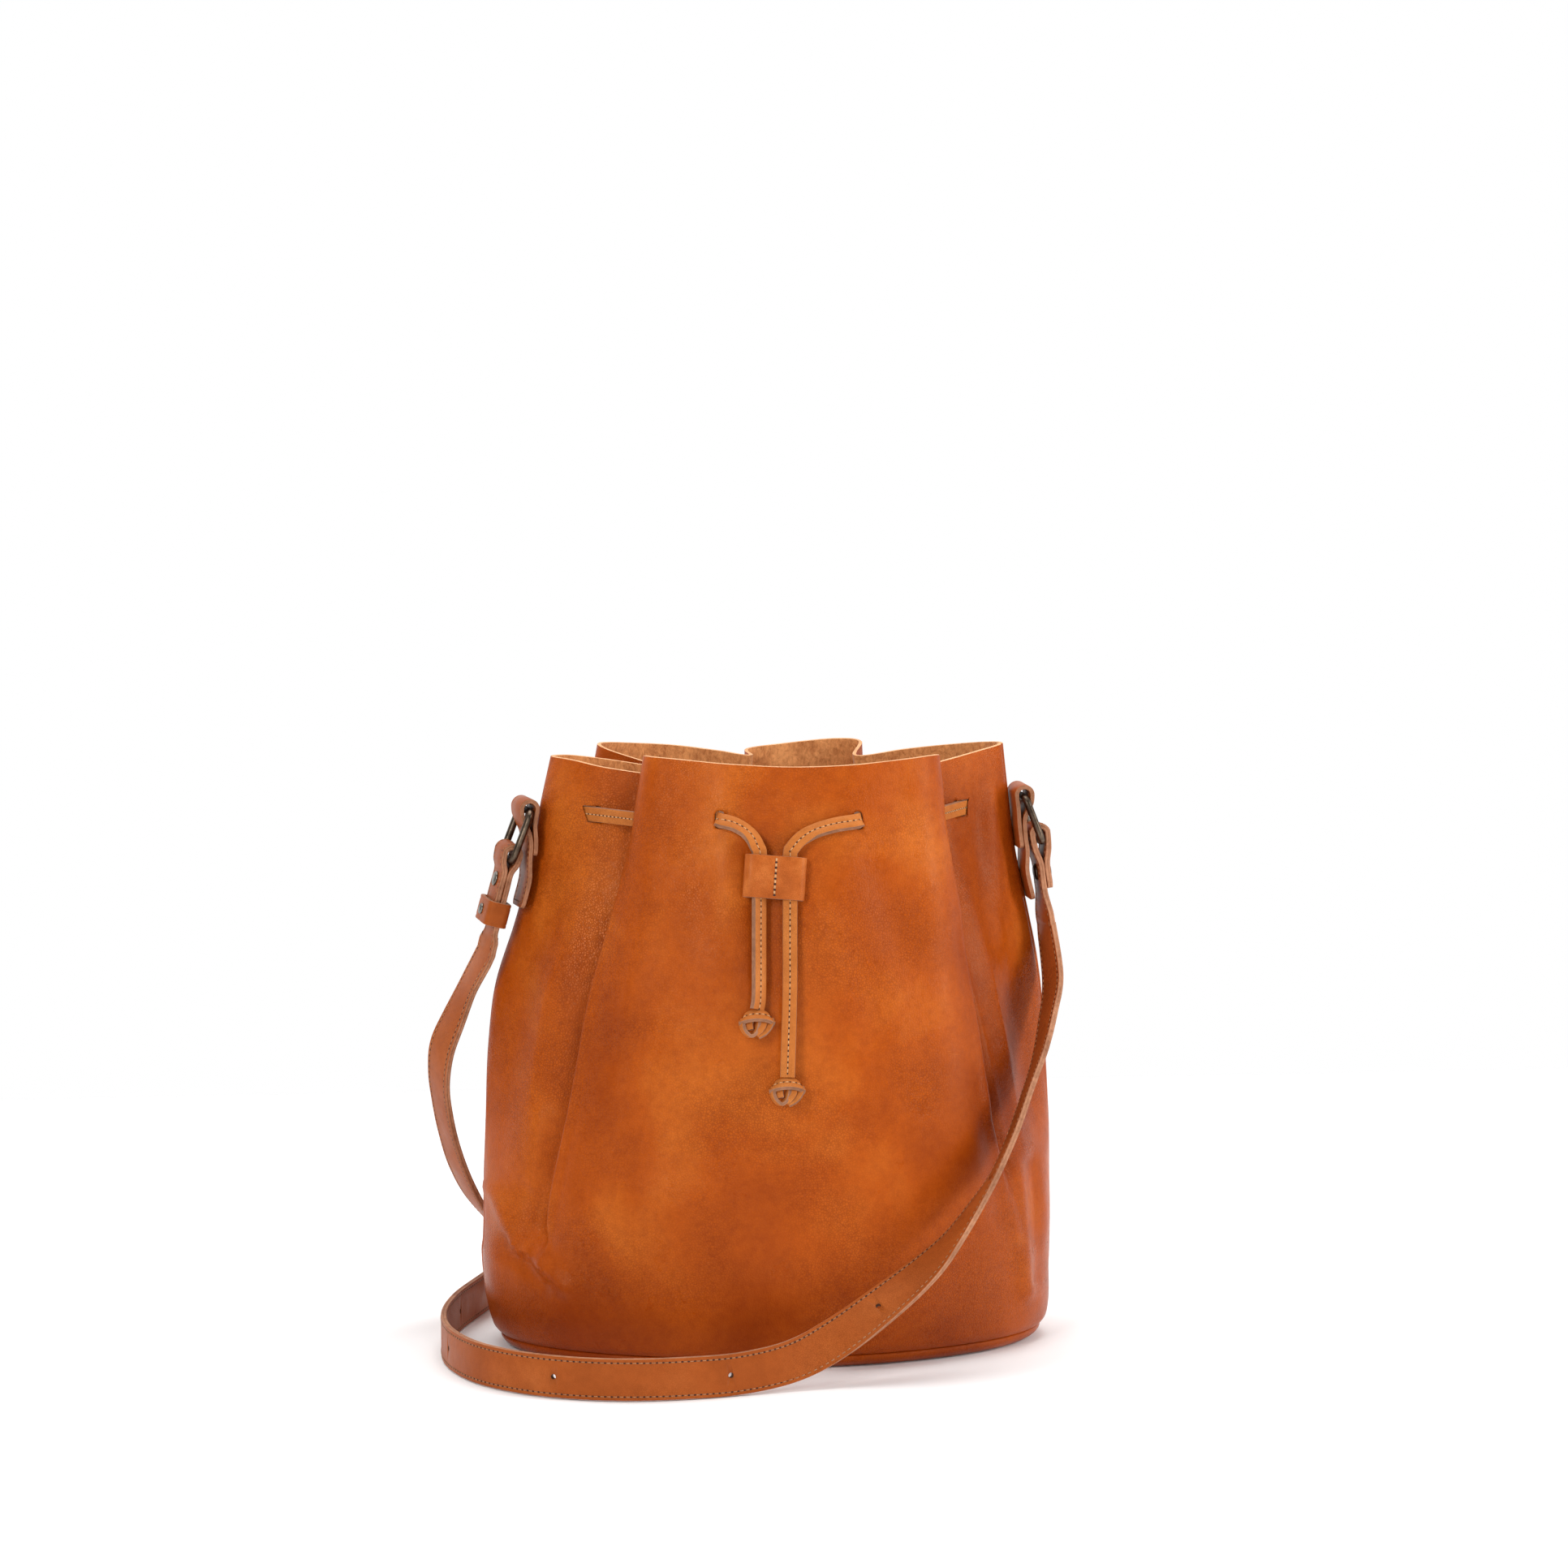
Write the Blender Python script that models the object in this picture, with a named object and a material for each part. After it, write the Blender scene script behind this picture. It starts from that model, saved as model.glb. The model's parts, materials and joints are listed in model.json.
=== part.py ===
"""Drawstring bucket bag: two leather side panels on an oval base, a flat lace with a
sliding sleeve, two side tabs with metal rings, and a long shoulder strap.

Metres, +Z up. The origin is the centre of the base on the surface that the bag stands on.
X runs from tab to tab and -Y is the front."""

import math

import bmesh
import bpy
from mathutils import Vector

# Driving dimensions of the bag body.
RIM_HEIGHT = 0.290
SEAM_HEIGHT = 0.0068
LEATHER = 0.0018
GAP = 0.0003
# Height, half width to the left, half width to the right, half depth to the front and back.
PROFILE = (
    (0.000, 0.1330, 0.1330, 0.0765, 0.0760),
    (0.010, 0.1385, 0.1370, 0.0805, 0.0800),
    (0.036, 0.1430, 0.1378, 0.0850, 0.0840),
    (0.070, 0.1428, 0.1390, 0.0865, 0.0870),
    (0.114, 0.1415, 0.1398, 0.0860, 0.0870),
    (0.150, 0.1395, 0.1382, 0.0840, 0.0850),
    (0.178, 0.1355, 0.1355, 0.0815, 0.0830),
    (0.207, 0.1262, 0.1300, 0.0780, 0.0790),
    (0.240, 0.1175, 0.1225, 0.0720, 0.0740),
    (0.265, 0.1133, 0.1190, 0.0670, 0.0690),
    (0.290, 0.1078, 0.1160, 0.0625, 0.0655),
)
# The gathered mouth: the angle round the base that each point comes from, its place at the
# rim as a share of the half width and half depth, its height above the nominal rim, and how
# deep in a pleat it lies (0 on a panel, 1 at the bottom of a pleat).
MOUTH = (
    (0, 0.000, -1.000, 0.0008, 0),
    (18, 0.260, -0.970, 0.0012, 0),
    (36, 0.500, -0.830, 0.0028, 0),
    (44, 0.615, -0.715, 0.0037, 0),
    (50, 0.662, -0.580, 0.0030, 0.1),
    (55, 0.640, -0.440, -0.0005, 0.2),
    (60, 0.560, -0.330, -0.0050, 1),
    (66, 0.690, -0.180, -0.0030, 1),
    (76, 0.860, 0.010, 0.0005, 0),
    (90, 1.000, 0.200, 0.0035, 0),
    (102, 0.960, 0.430, 0.0030, 0),
    (118, 0.800, 0.640, 0.0005, 0),
    (134, 0.620, 0.720, -0.0020, 1),
    (145, 0.420, 0.740, -0.0050, 1),
    (151, 0.450, 0.920, 0.0010, 0),
    (160, 0.340, 1.000, 0.0020, 0),
    (172, 0.120, 0.980, 0.0000, 0),
    (181, -0.060, 0.900, -0.0020, 1),
    (186, -0.060, 0.720, -0.0040, 1),
    (192, -0.190, 0.780, -0.0020, 1),
    (202, -0.380, 0.920, 0.0000, 0),
    (214, -0.580, 0.900, 0.0015, 0),
    (224, -0.750, 0.720, 0.0030, 0),
    (231, -0.735, 0.560, 0.0010, 1),
    (237, -0.560, 0.440, -0.0050, 1),
    (242, -0.545, 0.340, -0.0060, 1),
    (250, -0.720, 0.350, -0.0030, 1),
    (260, -0.900, 0.340, -0.0005, 0),
    (270, -1.000, 0.200, 0.0000, 0),
    (282, -0.900, -0.030, -0.0010, 0),
    (292, -0.750, -0.180, -0.0040, 1),
    (300, -0.490, -0.320, -0.0070, 1),
    (305, -0.580, -0.440, -0.0005, 1),
    (310, -0.622, -0.580, 0.0042, 0.6),
    (316, -0.590, -0.710, 0.0046, 0),
    (324, -0.500, -0.800, 0.0041, 0),
    (342, -0.260, -0.960, 0.0023, 0),
)
PLEAT_START = 0.045
PANEL_SET = 0.200

# Hardware at the two sides.
TAB_WIDTH = 0.0210
TAB_PLY = 0.0022
TAB_LOOP_RADIUS = 0.0028
TAB_SHORT_END = 0.2425
TAB_LONG_END = 0.2170
WIRE = 0.0036
RING_WIDTH = 0.0262
RING_CORNER = 0.0045
STRAP_WIDTH = 0.0200
STRAP_PLY = 0.0028
RIVET_POST = 0.0032

# The flat lace and its sleeve.
LACE_WIDTH = 0.0070
LACE_PLY = 0.0030
LACE_HEIGHT = 0.2640
FRONT_SLOT = 0.0335
SLEEVE_HEIGHT = 0.0205
SLEEVE_WIDTH = 0.0300
SLEEVE_DEPTH = 0.0072
SLEEVE_CENTRE = Vector((-0.0080, 0.0, 0.2390))
LACE_SPACING = 0.0148


def remove_everything():
    for obj in list(bpy.data.objects):
        bpy.data.objects.remove(obj, do_unlink=True)


def new_collection(name):
    collection = bpy.data.collections.new(name)
    bpy.context.scene.collection.children.link(collection)
    return collection


def make_material(name, colour, roughness, metallic=0.0):
    material = bpy.data.materials.new(name)
    material.use_nodes = True
    shader = material.node_tree.nodes["Principled BSDF"]
    shader.inputs["Base Color"].default_value = (*colour, 1.0)
    shader.inputs["Roughness"].default_value = roughness
    shader.inputs["Metallic"].default_value = metallic
    return material


LEATHER_TAN = ((0.50, 0.11, 0.025), 0.42, 0.0)
STRAP_TAN = ((0.45, 0.12, 0.040), 0.45, 0.0)
LACE_TAN = ((0.52, 0.16, 0.045), 0.45, 0.0)
BOARD_BROWN = ((0.25, 0.14, 0.070), 0.80, 0.0)
OLD_BRASS = ((0.20, 0.14, 0.085), 0.38, 1.0)
NICKEL = ((0.42, 0.40, 0.36), 0.35, 1.0)


def add_object(name, mesh, finish, collection):
    mesh.materials.append(make_material(name, *finish))
    obj = bpy.data.objects.new(name, mesh)
    collection.objects.link(obj)
    return obj


def smooth_step(low, high, value):
    share = min(1.0, max(0.0, (value - low) / (high - low)))
    return share * share * (3.0 - 2.0 * share)


def cubic(before, start, end, after, share):
    """One span of a Catmull-Rom curve through evenly spaced values."""
    bend = before * 2.0 - start * 5.0 + end * 4.0 - after
    twist = start * 3.0 - before - end * 3.0 + after
    return start + (end - before + (bend + twist * share) * share) * share * 0.5


def profile_at(height):
    """Left, right, front and back half sizes at a height."""
    height = min(max(height, PROFILE[0][0]), PROFILE[-1][0])
    last = len(PROFILE) - 1
    for i in range(last):
        if height <= PROFILE[i + 1][0]:
            break
    rows = [PROFILE[min(max(i + k, 0), last)] for k in (-1, 0, 1, 2)]
    share = (height - rows[1][0]) / (rows[2][0] - rows[1][0])
    return [cubic(*(row[k] for row in rows), share) for k in range(1, 5)]


def mouth_at(turn):
    """Angle, x share, y share, lift and pleat depth at a place along MOUTH."""
    i = math.floor(turn)
    count = len(MOUTH)
    rows = [MOUTH[(i + k) % count] for k in (-1, 0, 1, 2)]
    angles = [row[0] + 360.0 * math.floor((i + k) / count) for k, row in zip((-1, 0, 1, 2), rows)]
    share = turn - i
    values = [cubic(*(row[k] for row in rows), share) for k in range(1, 5)]
    return [math.radians(cubic(*angles, share))] + values


def turn_at(degrees):
    """The place along MOUTH whose angle is this one, by bisection."""
    low, high = -float(len(MOUTH)), float(len(MOUTH))
    for _ in range(50):
        middle = 0.5 * (low + high)
        if math.degrees(mouth_at(middle)[0]) < degrees:
            low = middle
        else:
            high = middle
    return low


def body_point(turn, height):
    """A point of the body's outer face: oval low down, gathered into pleats at the mouth."""
    angle, x_share, y_share, lift, pleat = mouth_at(turn)
    left, right, front, back = profile_at(height)
    panel = smooth_step(PLEAT_START, PANEL_SET, height)
    deep = min(1.0, max(0.0, (height - PLEAT_START) / (RIM_HEIGHT - PLEAT_START)))
    gathered = panel + (deep - panel) * min(1.0, max(0.0, pleat))
    x = math.sin(angle) + (x_share - math.sin(angle)) * gathered
    y = -math.cos(angle) + (y_share + math.cos(angle)) * gathered
    rise = lift * smooth_step(0.15, RIM_HEIGHT, height)
    return Vector((x * (left if x < 0 else right), y * (front if y < 0 else back), height + rise))


def body_normal(turn, height):
    """The level direction that points out of the bag at a point of the body."""
    along = body_point(turn + 0.02, height) - body_point(turn - 0.02, height)
    return Vector((along.y, -along.x, 0.0)).normalized()


def inner_point(turn, height, depth):
    return body_point(turn, height) - body_normal(turn, height) * depth


def side_surface(sign, height):
    """How far out the body's outermost line lies on the left (-1) or right (+1)."""
    left, right = profile_at(height)[:2]
    return left if sign < 0 else right


def body_panel(name, first, last, collection):
    """One closed sheet of leather between two places along the mouth."""
    heights = (0.0, 0.035, 0.10, 0.19, 0.29, 0.40, 0.50, 0.60, 0.70, 0.80, 0.90, 1.0)
    heights = [SEAM_HEIGHT + GAP + (RIM_HEIGHT - SEAM_HEIGHT - GAP) * h for h in heights]
    columns = round((last - first) * 2.5)
    mesh_builder = bmesh.new()
    grids = []
    for depth in (0.0, LEATHER):
        grid = []
        for i in range(columns + 1):
            turn = first + (last - first) * i / columns
            grid.append([mesh_builder.verts.new(inner_point(turn, h, depth)) for h in heights])
        grids.append(grid)
    outer, inner = grids
    for i in range(columns):
        for j in range(len(heights) - 1):
            a, b, c, d = outer[i][j], outer[i + 1][j], outer[i + 1][j + 1], outer[i][j + 1]
            mesh_builder.faces.new((a, b, c, d))
            a, b, c, d = inner[i][j], inner[i + 1][j], inner[i + 1][j + 1], inner[i][j + 1]
            mesh_builder.faces.new((d, c, b, a))
        mesh_builder.faces.new((outer[i + 1][0], outer[i][0], inner[i][0], inner[i + 1][0]))
        mesh_builder.faces.new((outer[i][-1], outer[i + 1][-1], inner[i + 1][-1], inner[i][-1]))
    for j in range(len(heights) - 1):
        mesh_builder.faces.new((outer[0][j], outer[0][j + 1], inner[0][j + 1], inner[0][j]))
        mesh_builder.faces.new((outer[-1][j + 1], outer[-1][j], inner[-1][j], inner[-1][j + 1]))
    return finish_mesh(name, mesh_builder, LEATHER_TAN, collection)


def finish_mesh(name, mesh_builder, finish, collection):
    bmesh.ops.recalc_face_normals(mesh_builder, faces=mesh_builder.faces)
    if mesh_builder.calc_volume(signed=True) < 0.0:
        bmesh.ops.reverse_faces(mesh_builder, faces=mesh_builder.faces)
    mesh = bpy.data.meshes.new(name)
    mesh_builder.to_mesh(mesh)
    mesh_builder.free()
    return add_object(name, mesh, finish, collection)


def oval_loft(name, rings, finish, collection, steps=48):
    """A closed solid through level ovals, each given by its inset from the seam line and height."""
    left, right, front, back = profile_at(SEAM_HEIGHT)
    mesh_builder = bmesh.new()
    loops = []
    for inset, height in rings:
        loop = []
        for i in range(steps):
            angle = 2.0 * math.pi * i / steps
            x, y = math.sin(angle), -math.cos(angle)
            wide = (left if x < 0 else right) - inset
            deep = (front if y < 0 else back) - inset
            loop.append(mesh_builder.verts.new((x * wide, y * deep, height)))
        loops.append(loop)
    for low, high in zip(loops, loops[1:]):
        for i in range(steps):
            k = (i + 1) % steps
            mesh_builder.faces.new((low[i], low[k], high[k], high[i]))
    mesh_builder.faces.new(loops[0])
    mesh_builder.faces.new(loops[-1])
    return finish_mesh(name, mesh_builder, finish, collection)


def smooth_line(points, count):
    """Points evenly spaced along a Catmull-Rom curve through the given ones."""
    padded = [points[0] * 2 - points[1], *points, points[-1] * 2 - points[-2]]
    fine = []
    for i in range(len(points) - 1):
        for k in range(24):
            fine.append(cubic(*padded[i : i + 4], k / 24))
    fine.append(points[-1])
    lengths = [0.0]
    for a, b in zip(fine, fine[1:]):
        lengths.append(lengths[-1] + (b - a).length)
    line = []
    j = 0
    for i in range(count):
        target = lengths[-1] * i / (count - 1)
        while j < len(lengths) - 2 and lengths[j + 1] < target:
            j += 1
        share = (target - lengths[j]) / (lengths[j + 1] - lengths[j])
        line.append(fine[j].lerp(fine[j + 1], min(1.0, max(0.0, share))))
    return line


def ribbon(name, line, widths, width, ply, finish, collection):
    """A flat strip of leather along a line; widths holds the direction of its width."""
    mesh_builder = bmesh.new()
    sections = []
    for i, centre in enumerate(line):
        tangent = line[min(i + 1, len(line) - 1)] - line[max(i - 1, 0)]
        tangent.normalize()
        across = widths[i] - tangent * widths[i].dot(tangent)
        across = across.normalized() * width * 0.5
        through = tangent.cross(across).normalized() * ply * 0.5
        corners = (across + through, across - through, -across - through, through - across)
        sections.append([mesh_builder.verts.new(centre + corner) for corner in corners])
    for low, high in zip(sections, sections[1:]):
        for i in range(4):
            k = (i + 1) % 4
            mesh_builder.faces.new((low[i], low[k], high[k], high[i]))
    mesh_builder.faces.new(sections[0])
    mesh_builder.faces.new(sections[-1])
    return finish_mesh(name, mesh_builder, finish, collection)


def cut_out(obj, cutter):
    modifier = obj.modifiers.new(cutter.name, "BOOLEAN")
    modifier.operation = "DIFFERENCE"
    modifier.object = cutter


def make_guide(obj):
    obj.hide_render = True
    obj.display_type = "WIRE"
    return obj


def turned(name, profile, place, axis, finish, collection, steps=20):
    """A solid turned round an axis through a place; profile lists (height, radius)."""
    mesh_builder = bmesh.new()
    loops = []
    for height, radius in profile:
        ring = []
        for i in range(steps):
            angle = 2.0 * math.pi * i / steps
            ring.append(mesh_builder.verts.new((radius * math.cos(angle), radius * math.sin(angle), height)))
        loops.append(ring)
    for low, high in zip(loops, loops[1:]):
        for i in range(steps):
            k = (i + 1) % steps
            mesh_builder.faces.new((low[i], low[k], high[k], high[i]))
    mesh_builder.faces.new(loops[0])
    mesh_builder.faces.new(loops[-1])
    turn = axis.to_track_quat("Z", "Y").to_matrix().to_4x4()
    turn.translation = place
    bmesh.ops.transform(mesh_builder, matrix=turn, verts=mesh_builder.verts)
    return finish_mesh(name, mesh_builder, finish, collection)


class Side:
    """One side's hardware frame: out from the bag, width along the tab, and up."""

    def __init__(self, sign, centre_y, yaw, standoff, top, drop):
        self.sign = sign
        self.top = top
        self.drop = drop
        self.hug = 0.0020 if sign < 0 else 0.0004
        self.name = "left" if sign < 0 else "right"
        turn = math.radians(yaw)
        self.out = Vector((sign * math.cos(turn), -math.sin(turn), 0.0))
        self.width = Vector((sign * math.sin(turn), math.cos(turn), 0.0))
        self.base = Vector((sign * (side_surface(sign, top) + standoff), centre_y, 0.0))

    def point(self, out, height):
        return self.base + self.out * out + Vector((0.0, 0.0, height))

    def slope(self, height):
        return side_surface(self.sign, height) - side_surface(self.sign, self.top)

    def face(self, height):
        """Where the tab's back lies: just off the bag below its loop."""
        share = min(max((height - self.top + 0.022) / 0.016, 0.0), 1.0)
        return self.slope(height) - self.hug * (1.0 - share * share * (3.0 - 2.0 * share))


# Left and right: sign, Y, turn, stand-off, height of the tab's loop, drop of the ring's low bar.
LEFT = Side(-1, 0.010, 8.0, 0.0020, 0.2655, 0.0255)
RIGHT = Side(1, 0.012, -1.0, 0.0014, 0.2690, 0.0235)


def arc(centre, radius, start, end, count):
    """(out, height) points on a circle, angles in degrees from straight out."""
    points = []
    for i in range(count):
        angle = math.radians(start + (end - start) * i / (count - 1))
        points.append((centre[0] + radius * math.cos(angle), centre[1] + radius * math.sin(angle)))
    return points


def tab(side, collection):
    """A strip folded over the ring: the short ply lies on the bag, the long one outside it."""
    middle = TAB_LOOP_RADIUS + TAB_PLY * 0.5
    inner = GAP + TAB_PLY * 0.5
    outer = inner + TAB_PLY + GAP
    loop = (inner + middle, side.top)
    points = [(side.face(z) + inner, z) for z in (TAB_SHORT_END, side.top - 0.0155, side.top - 0.0075)]
    points += arc(loop, middle, 180.0, 0.0, 9)
    points.append((loop[0] + 0.0036, side.top - 0.0035))
    points.append((loop[0] + 0.0021, side.top - 0.0075))
    points.append((side.face(side.top - 0.0120) + outer + 0.0004, side.top - 0.0120))
    points += [(side.face(z) + outer, z) for z in (0.2480, TAB_SHORT_END)]
    points.append((side.face(0.2370) + inner + 0.0016, 0.2370))
    points += [(side.face(z) + inner + 0.0003, z) for z in (0.2300, TAB_LONG_END)]
    line = [side.point(*p) for p in points]
    return ribbon(f"tab_{side.name}", line, [side.width] * len(line), TAB_WIDTH, TAB_PLY, STRAP_TAN, collection)


RING_LEAN = math.radians(21.5)
TOP_BAR_DROP = 0.0012


def top_bar(side):
    middle = TAB_LOOP_RADIUS + TAB_PLY * 0.5
    return side.point(GAP + TAB_PLY * 0.5 + middle, side.top - TOP_BAR_DROP)


def ring_down(side):
    return side.out * math.sin(RING_LEAN) + Vector((0.0, 0.0, -math.cos(RING_LEAN)))


def low_bar(side):
    return top_bar(side) + ring_down(side) * side.drop


def ring(side, collection):
    """A rounded rectangle of round wire, hanging from the tab's loop."""
    across, down = side.width, ring_down(side)
    half = RING_WIDTH * 0.5
    corners = (
        (half - RING_CORNER, RING_CORNER, -90.0),
        (half - RING_CORNER, side.drop - RING_CORNER, 0.0),
        (RING_CORNER - half, side.drop - RING_CORNER, 90.0),
        (RING_CORNER - half, RING_CORNER, 180.0),
    )
    curve = bpy.data.curves.new(f"ring_{side.name}", "CURVE")
    curve.dimensions = "3D"
    curve.bevel_depth = WIRE * 0.5
    curve.bevel_resolution = 2
    points = []
    for u, v, start in corners:
        for i in range(4):
            angle = math.radians(start + 30.0 * i)
            spot = across * (u + RING_CORNER * math.cos(angle))
            spot += down * (v + RING_CORNER * math.sin(angle))
            points.append(top_bar(side) + spot)
    spline = curve.splines.new("POLY")
    spline.points.add(len(points) - 1)
    spline.use_cyclic_u = True
    for control, spot in zip(spline.points, points):
        control.co = (*spot, 1.0)
    curve.materials.append(make_material(f"ring_{side.name}", *OLD_BRASS))
    obj = bpy.data.objects.new(f"ring_{side.name}", curve)
    collection.objects.link(obj)
    return obj


class StrapEnd:
    """A strap end's frame on its ring: down along the strap, out from the bag, across."""

    def __init__(self, side, lean, back, rise):
        self.side = side
        lean, back = math.radians(lean), math.radians(back)
        out, across = side.out, side.width
        down = out * math.sin(lean) + Vector((0.0, 0.0, -math.cos(lean)))
        self.out = out * math.cos(lean) + Vector((0.0, 0.0, math.sin(lean)))
        self.down = down * math.cos(back) + across * math.sin(back)
        self.across = across * math.cos(back) - down * math.sin(back)
        self.origin = low_bar(side) + self.down * -rise

    def point(self, down, out, across=0.0):
        return self.origin + self.down * down + self.out * out + self.across * across


# The strap's ends: lean out, swing to the back, and how far the fold stands above the bar.
LEFT_END = StrapEnd(LEFT, 15.0, 2.0, 0.0032)
RIGHT_END = StrapEnd(RIGHT, 8.0, -2.0, 0.0034)
HALF_PLY = STRAP_PLY * 0.5
STACK = HALF_PLY + GAP * 0.5
FOLD_RADIUS = 0.0024 + HALF_PLY
STUD_FLAT = 0.0046
LEFT_END_LENGTH = 0.0450
LEFT_FREE_END = 0.0265
LEFT_STUD = 0.0140
RIGHT_END_LENGTH = 0.0420
RIGHT_FREE_END = 0.0275
RIGHT_STUD = 0.0195


def strap_end(name, frame, length, free_end, stud, collection):
    """The strap goes up inside, over the ring's low bar, and comes down outside."""
    closed = stud - STUD_FLAT
    half_way = 0.5 * (STACK + FOLD_RADIUS)
    points = [(length, -STACK), (stud + STUD_FLAT, -STACK), (closed, -STACK)]
    points.append((closed * 0.5, -half_way - 0.0006))
    points += [(-u, -v) for v, u in arc((0.0, 0.0), FOLD_RADIUS, 0.0, 180.0, 9)]
    points += [(closed * 0.5, half_way + 0.0006), (closed, STACK), (stud + STUD_FLAT, STACK), (free_end, STACK)]
    line = [frame.point(*p) for p in points]
    strip = ribbon(name, line, [frame.across] * len(line), STRAP_WIDTH, STRAP_PLY, STRAP_TAN, collection)
    return strip


def stud_pair(names, frame, place, span, radius, finish, collection):
    """A cap whose post fills the hole, and the back disc that it is closed against."""
    reach = span * 0.5 + GAP
    head = 0.0013
    post = RIVET_POST * 0.5
    dome = ((reach, radius), (reach + head * 0.6, radius * 0.94), (reach + head, radius * 0.6))
    turned(names[0], ((GAP - reach, post), (reach, post), *dome), place, frame.out, finish, collection)
    turned(names[1], dome, place, -frame.out, finish, collection)


def stud_hole(name, frame, place, reach, collection):
    bore = RIVET_POST * 0.5 + GAP
    hole = turned(name, ((-reach, bore), (reach, bore)), place, frame.out, NICKEL, collection)
    return make_guide(hole)


def rounded_box(width, depth, radius, centre=0.0, steps=4):
    """The outline of a rectangle with round corners, in order."""
    points = []
    for i, (sign_x, sign_y) in enumerate(((1, 1), (-1, 1), (-1, -1), (1, -1))):
        for k in range(steps):
            angle = math.radians(90.0 * i + 90.0 * k / (steps - 1))
            x = centre + sign_x * (width * 0.5 - radius) + radius * math.cos(angle)
            y = sign_y * (depth * 0.5 - radius) + radius * math.sin(angle)
            points.append((x, y))
    return points


def tube(name, outlines, height, origin, across, out, finish, collection):
    """A flat outline with holes in it, drawn out along the strap or lace that it holds."""
    curve = bpy.data.curves.new(name, "CURVE")
    curve.dimensions = "2D"
    curve.fill_mode = "BOTH"
    curve.extrude = height * 0.5
    for outline in outlines:
        spline = curve.splines.new("POLY")
        spline.points.add(len(outline) - 1)
        spline.use_cyclic_u = True
        for control, (x, y) in zip(spline.points, outline):
            control.co = (x, y, 0.0, 1.0)
    drawn = bpy.data.objects.new(name + "_outline", curve)
    collection.objects.link(drawn)
    bpy.context.view_layer.update()
    evaluated = drawn.evaluated_get(bpy.context.evaluated_depsgraph_get())
    mesh_builder = bmesh.new()
    mesh_builder.from_mesh(bpy.data.meshes.new_from_object(evaluated))
    bpy.data.objects.remove(drawn, do_unlink=True)
    bmesh.ops.remove_doubles(mesh_builder, verts=mesh_builder.verts, dist=0.00001)
    for vert in mesh_builder.verts:
        x, y, z = vert.co
        vert.co = origin + across * x + out * y + across.cross(out) * z
    return finish_mesh(name, mesh_builder, finish, collection)


KEEPER_START = 0.0240
KEEPER_HEIGHT = 0.0120
KEEPER_WALL = 0.0022
KEEPER_ROOM = 0.0072


def strap_hardware(collection, guides):
    """Both strap ends, the studs that close them, and the keeper on the left one."""
    left = strap_end("strap_end_left", LEFT_END, LEFT_END_LENGTH, LEFT_FREE_END, LEFT_STUD, collection)
    right = strap_end("strap_end_right", RIGHT_END, RIGHT_END_LENGTH, RIGHT_FREE_END, RIGHT_STUD, collection)
    span = 2.0 * STRAP_PLY + GAP
    closures = (
        (left, LEFT_END, LEFT_STUD, 0.0036, ("strap_stud_cap", "strap_stud_back"), NICKEL),
        (right, RIGHT_END, RIGHT_STUD, 0.0042, ("strap_rivet_cap", "strap_rivet_back"), OLD_BRASS),
    )
    for strip, frame, down, radius, names, finish in closures:
        place = frame.point(down, 0.0)
        stud_pair(names, frame, place, span, radius, finish, collection)
        cut_out(strip, stud_hole(names[0] + "_hole", frame, place, span, guides))
    frame = LEFT_END
    middle = KEEPER_START + KEEPER_HEIGHT * 0.5
    width = STRAP_WIDTH + 0.0012
    keeper = tube(
        "keeper_loop",
        (
            rounded_box(width + 2 * KEEPER_WALL, KEEPER_ROOM + 2 * KEEPER_WALL, 0.0034),
            rounded_box(width, KEEPER_ROOM, 0.0014),
        ),
        KEEPER_HEIGHT,
        frame.point(middle, 0.0),
        frame.across,
        frame.out,
        STRAP_TAN,
        collection,
    )
    wall = (KEEPER_ROOM + KEEPER_WALL) * 0.5
    place = frame.point(middle, wall)
    stud_pair(("keeper_stud_cap", "keeper_stud_back"), frame, place, KEEPER_WALL, 0.0027, NICKEL, collection)
    cut_out(keeper, stud_hole("keeper_stud_hole", frame, place, KEEPER_WALL, guides))


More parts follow.
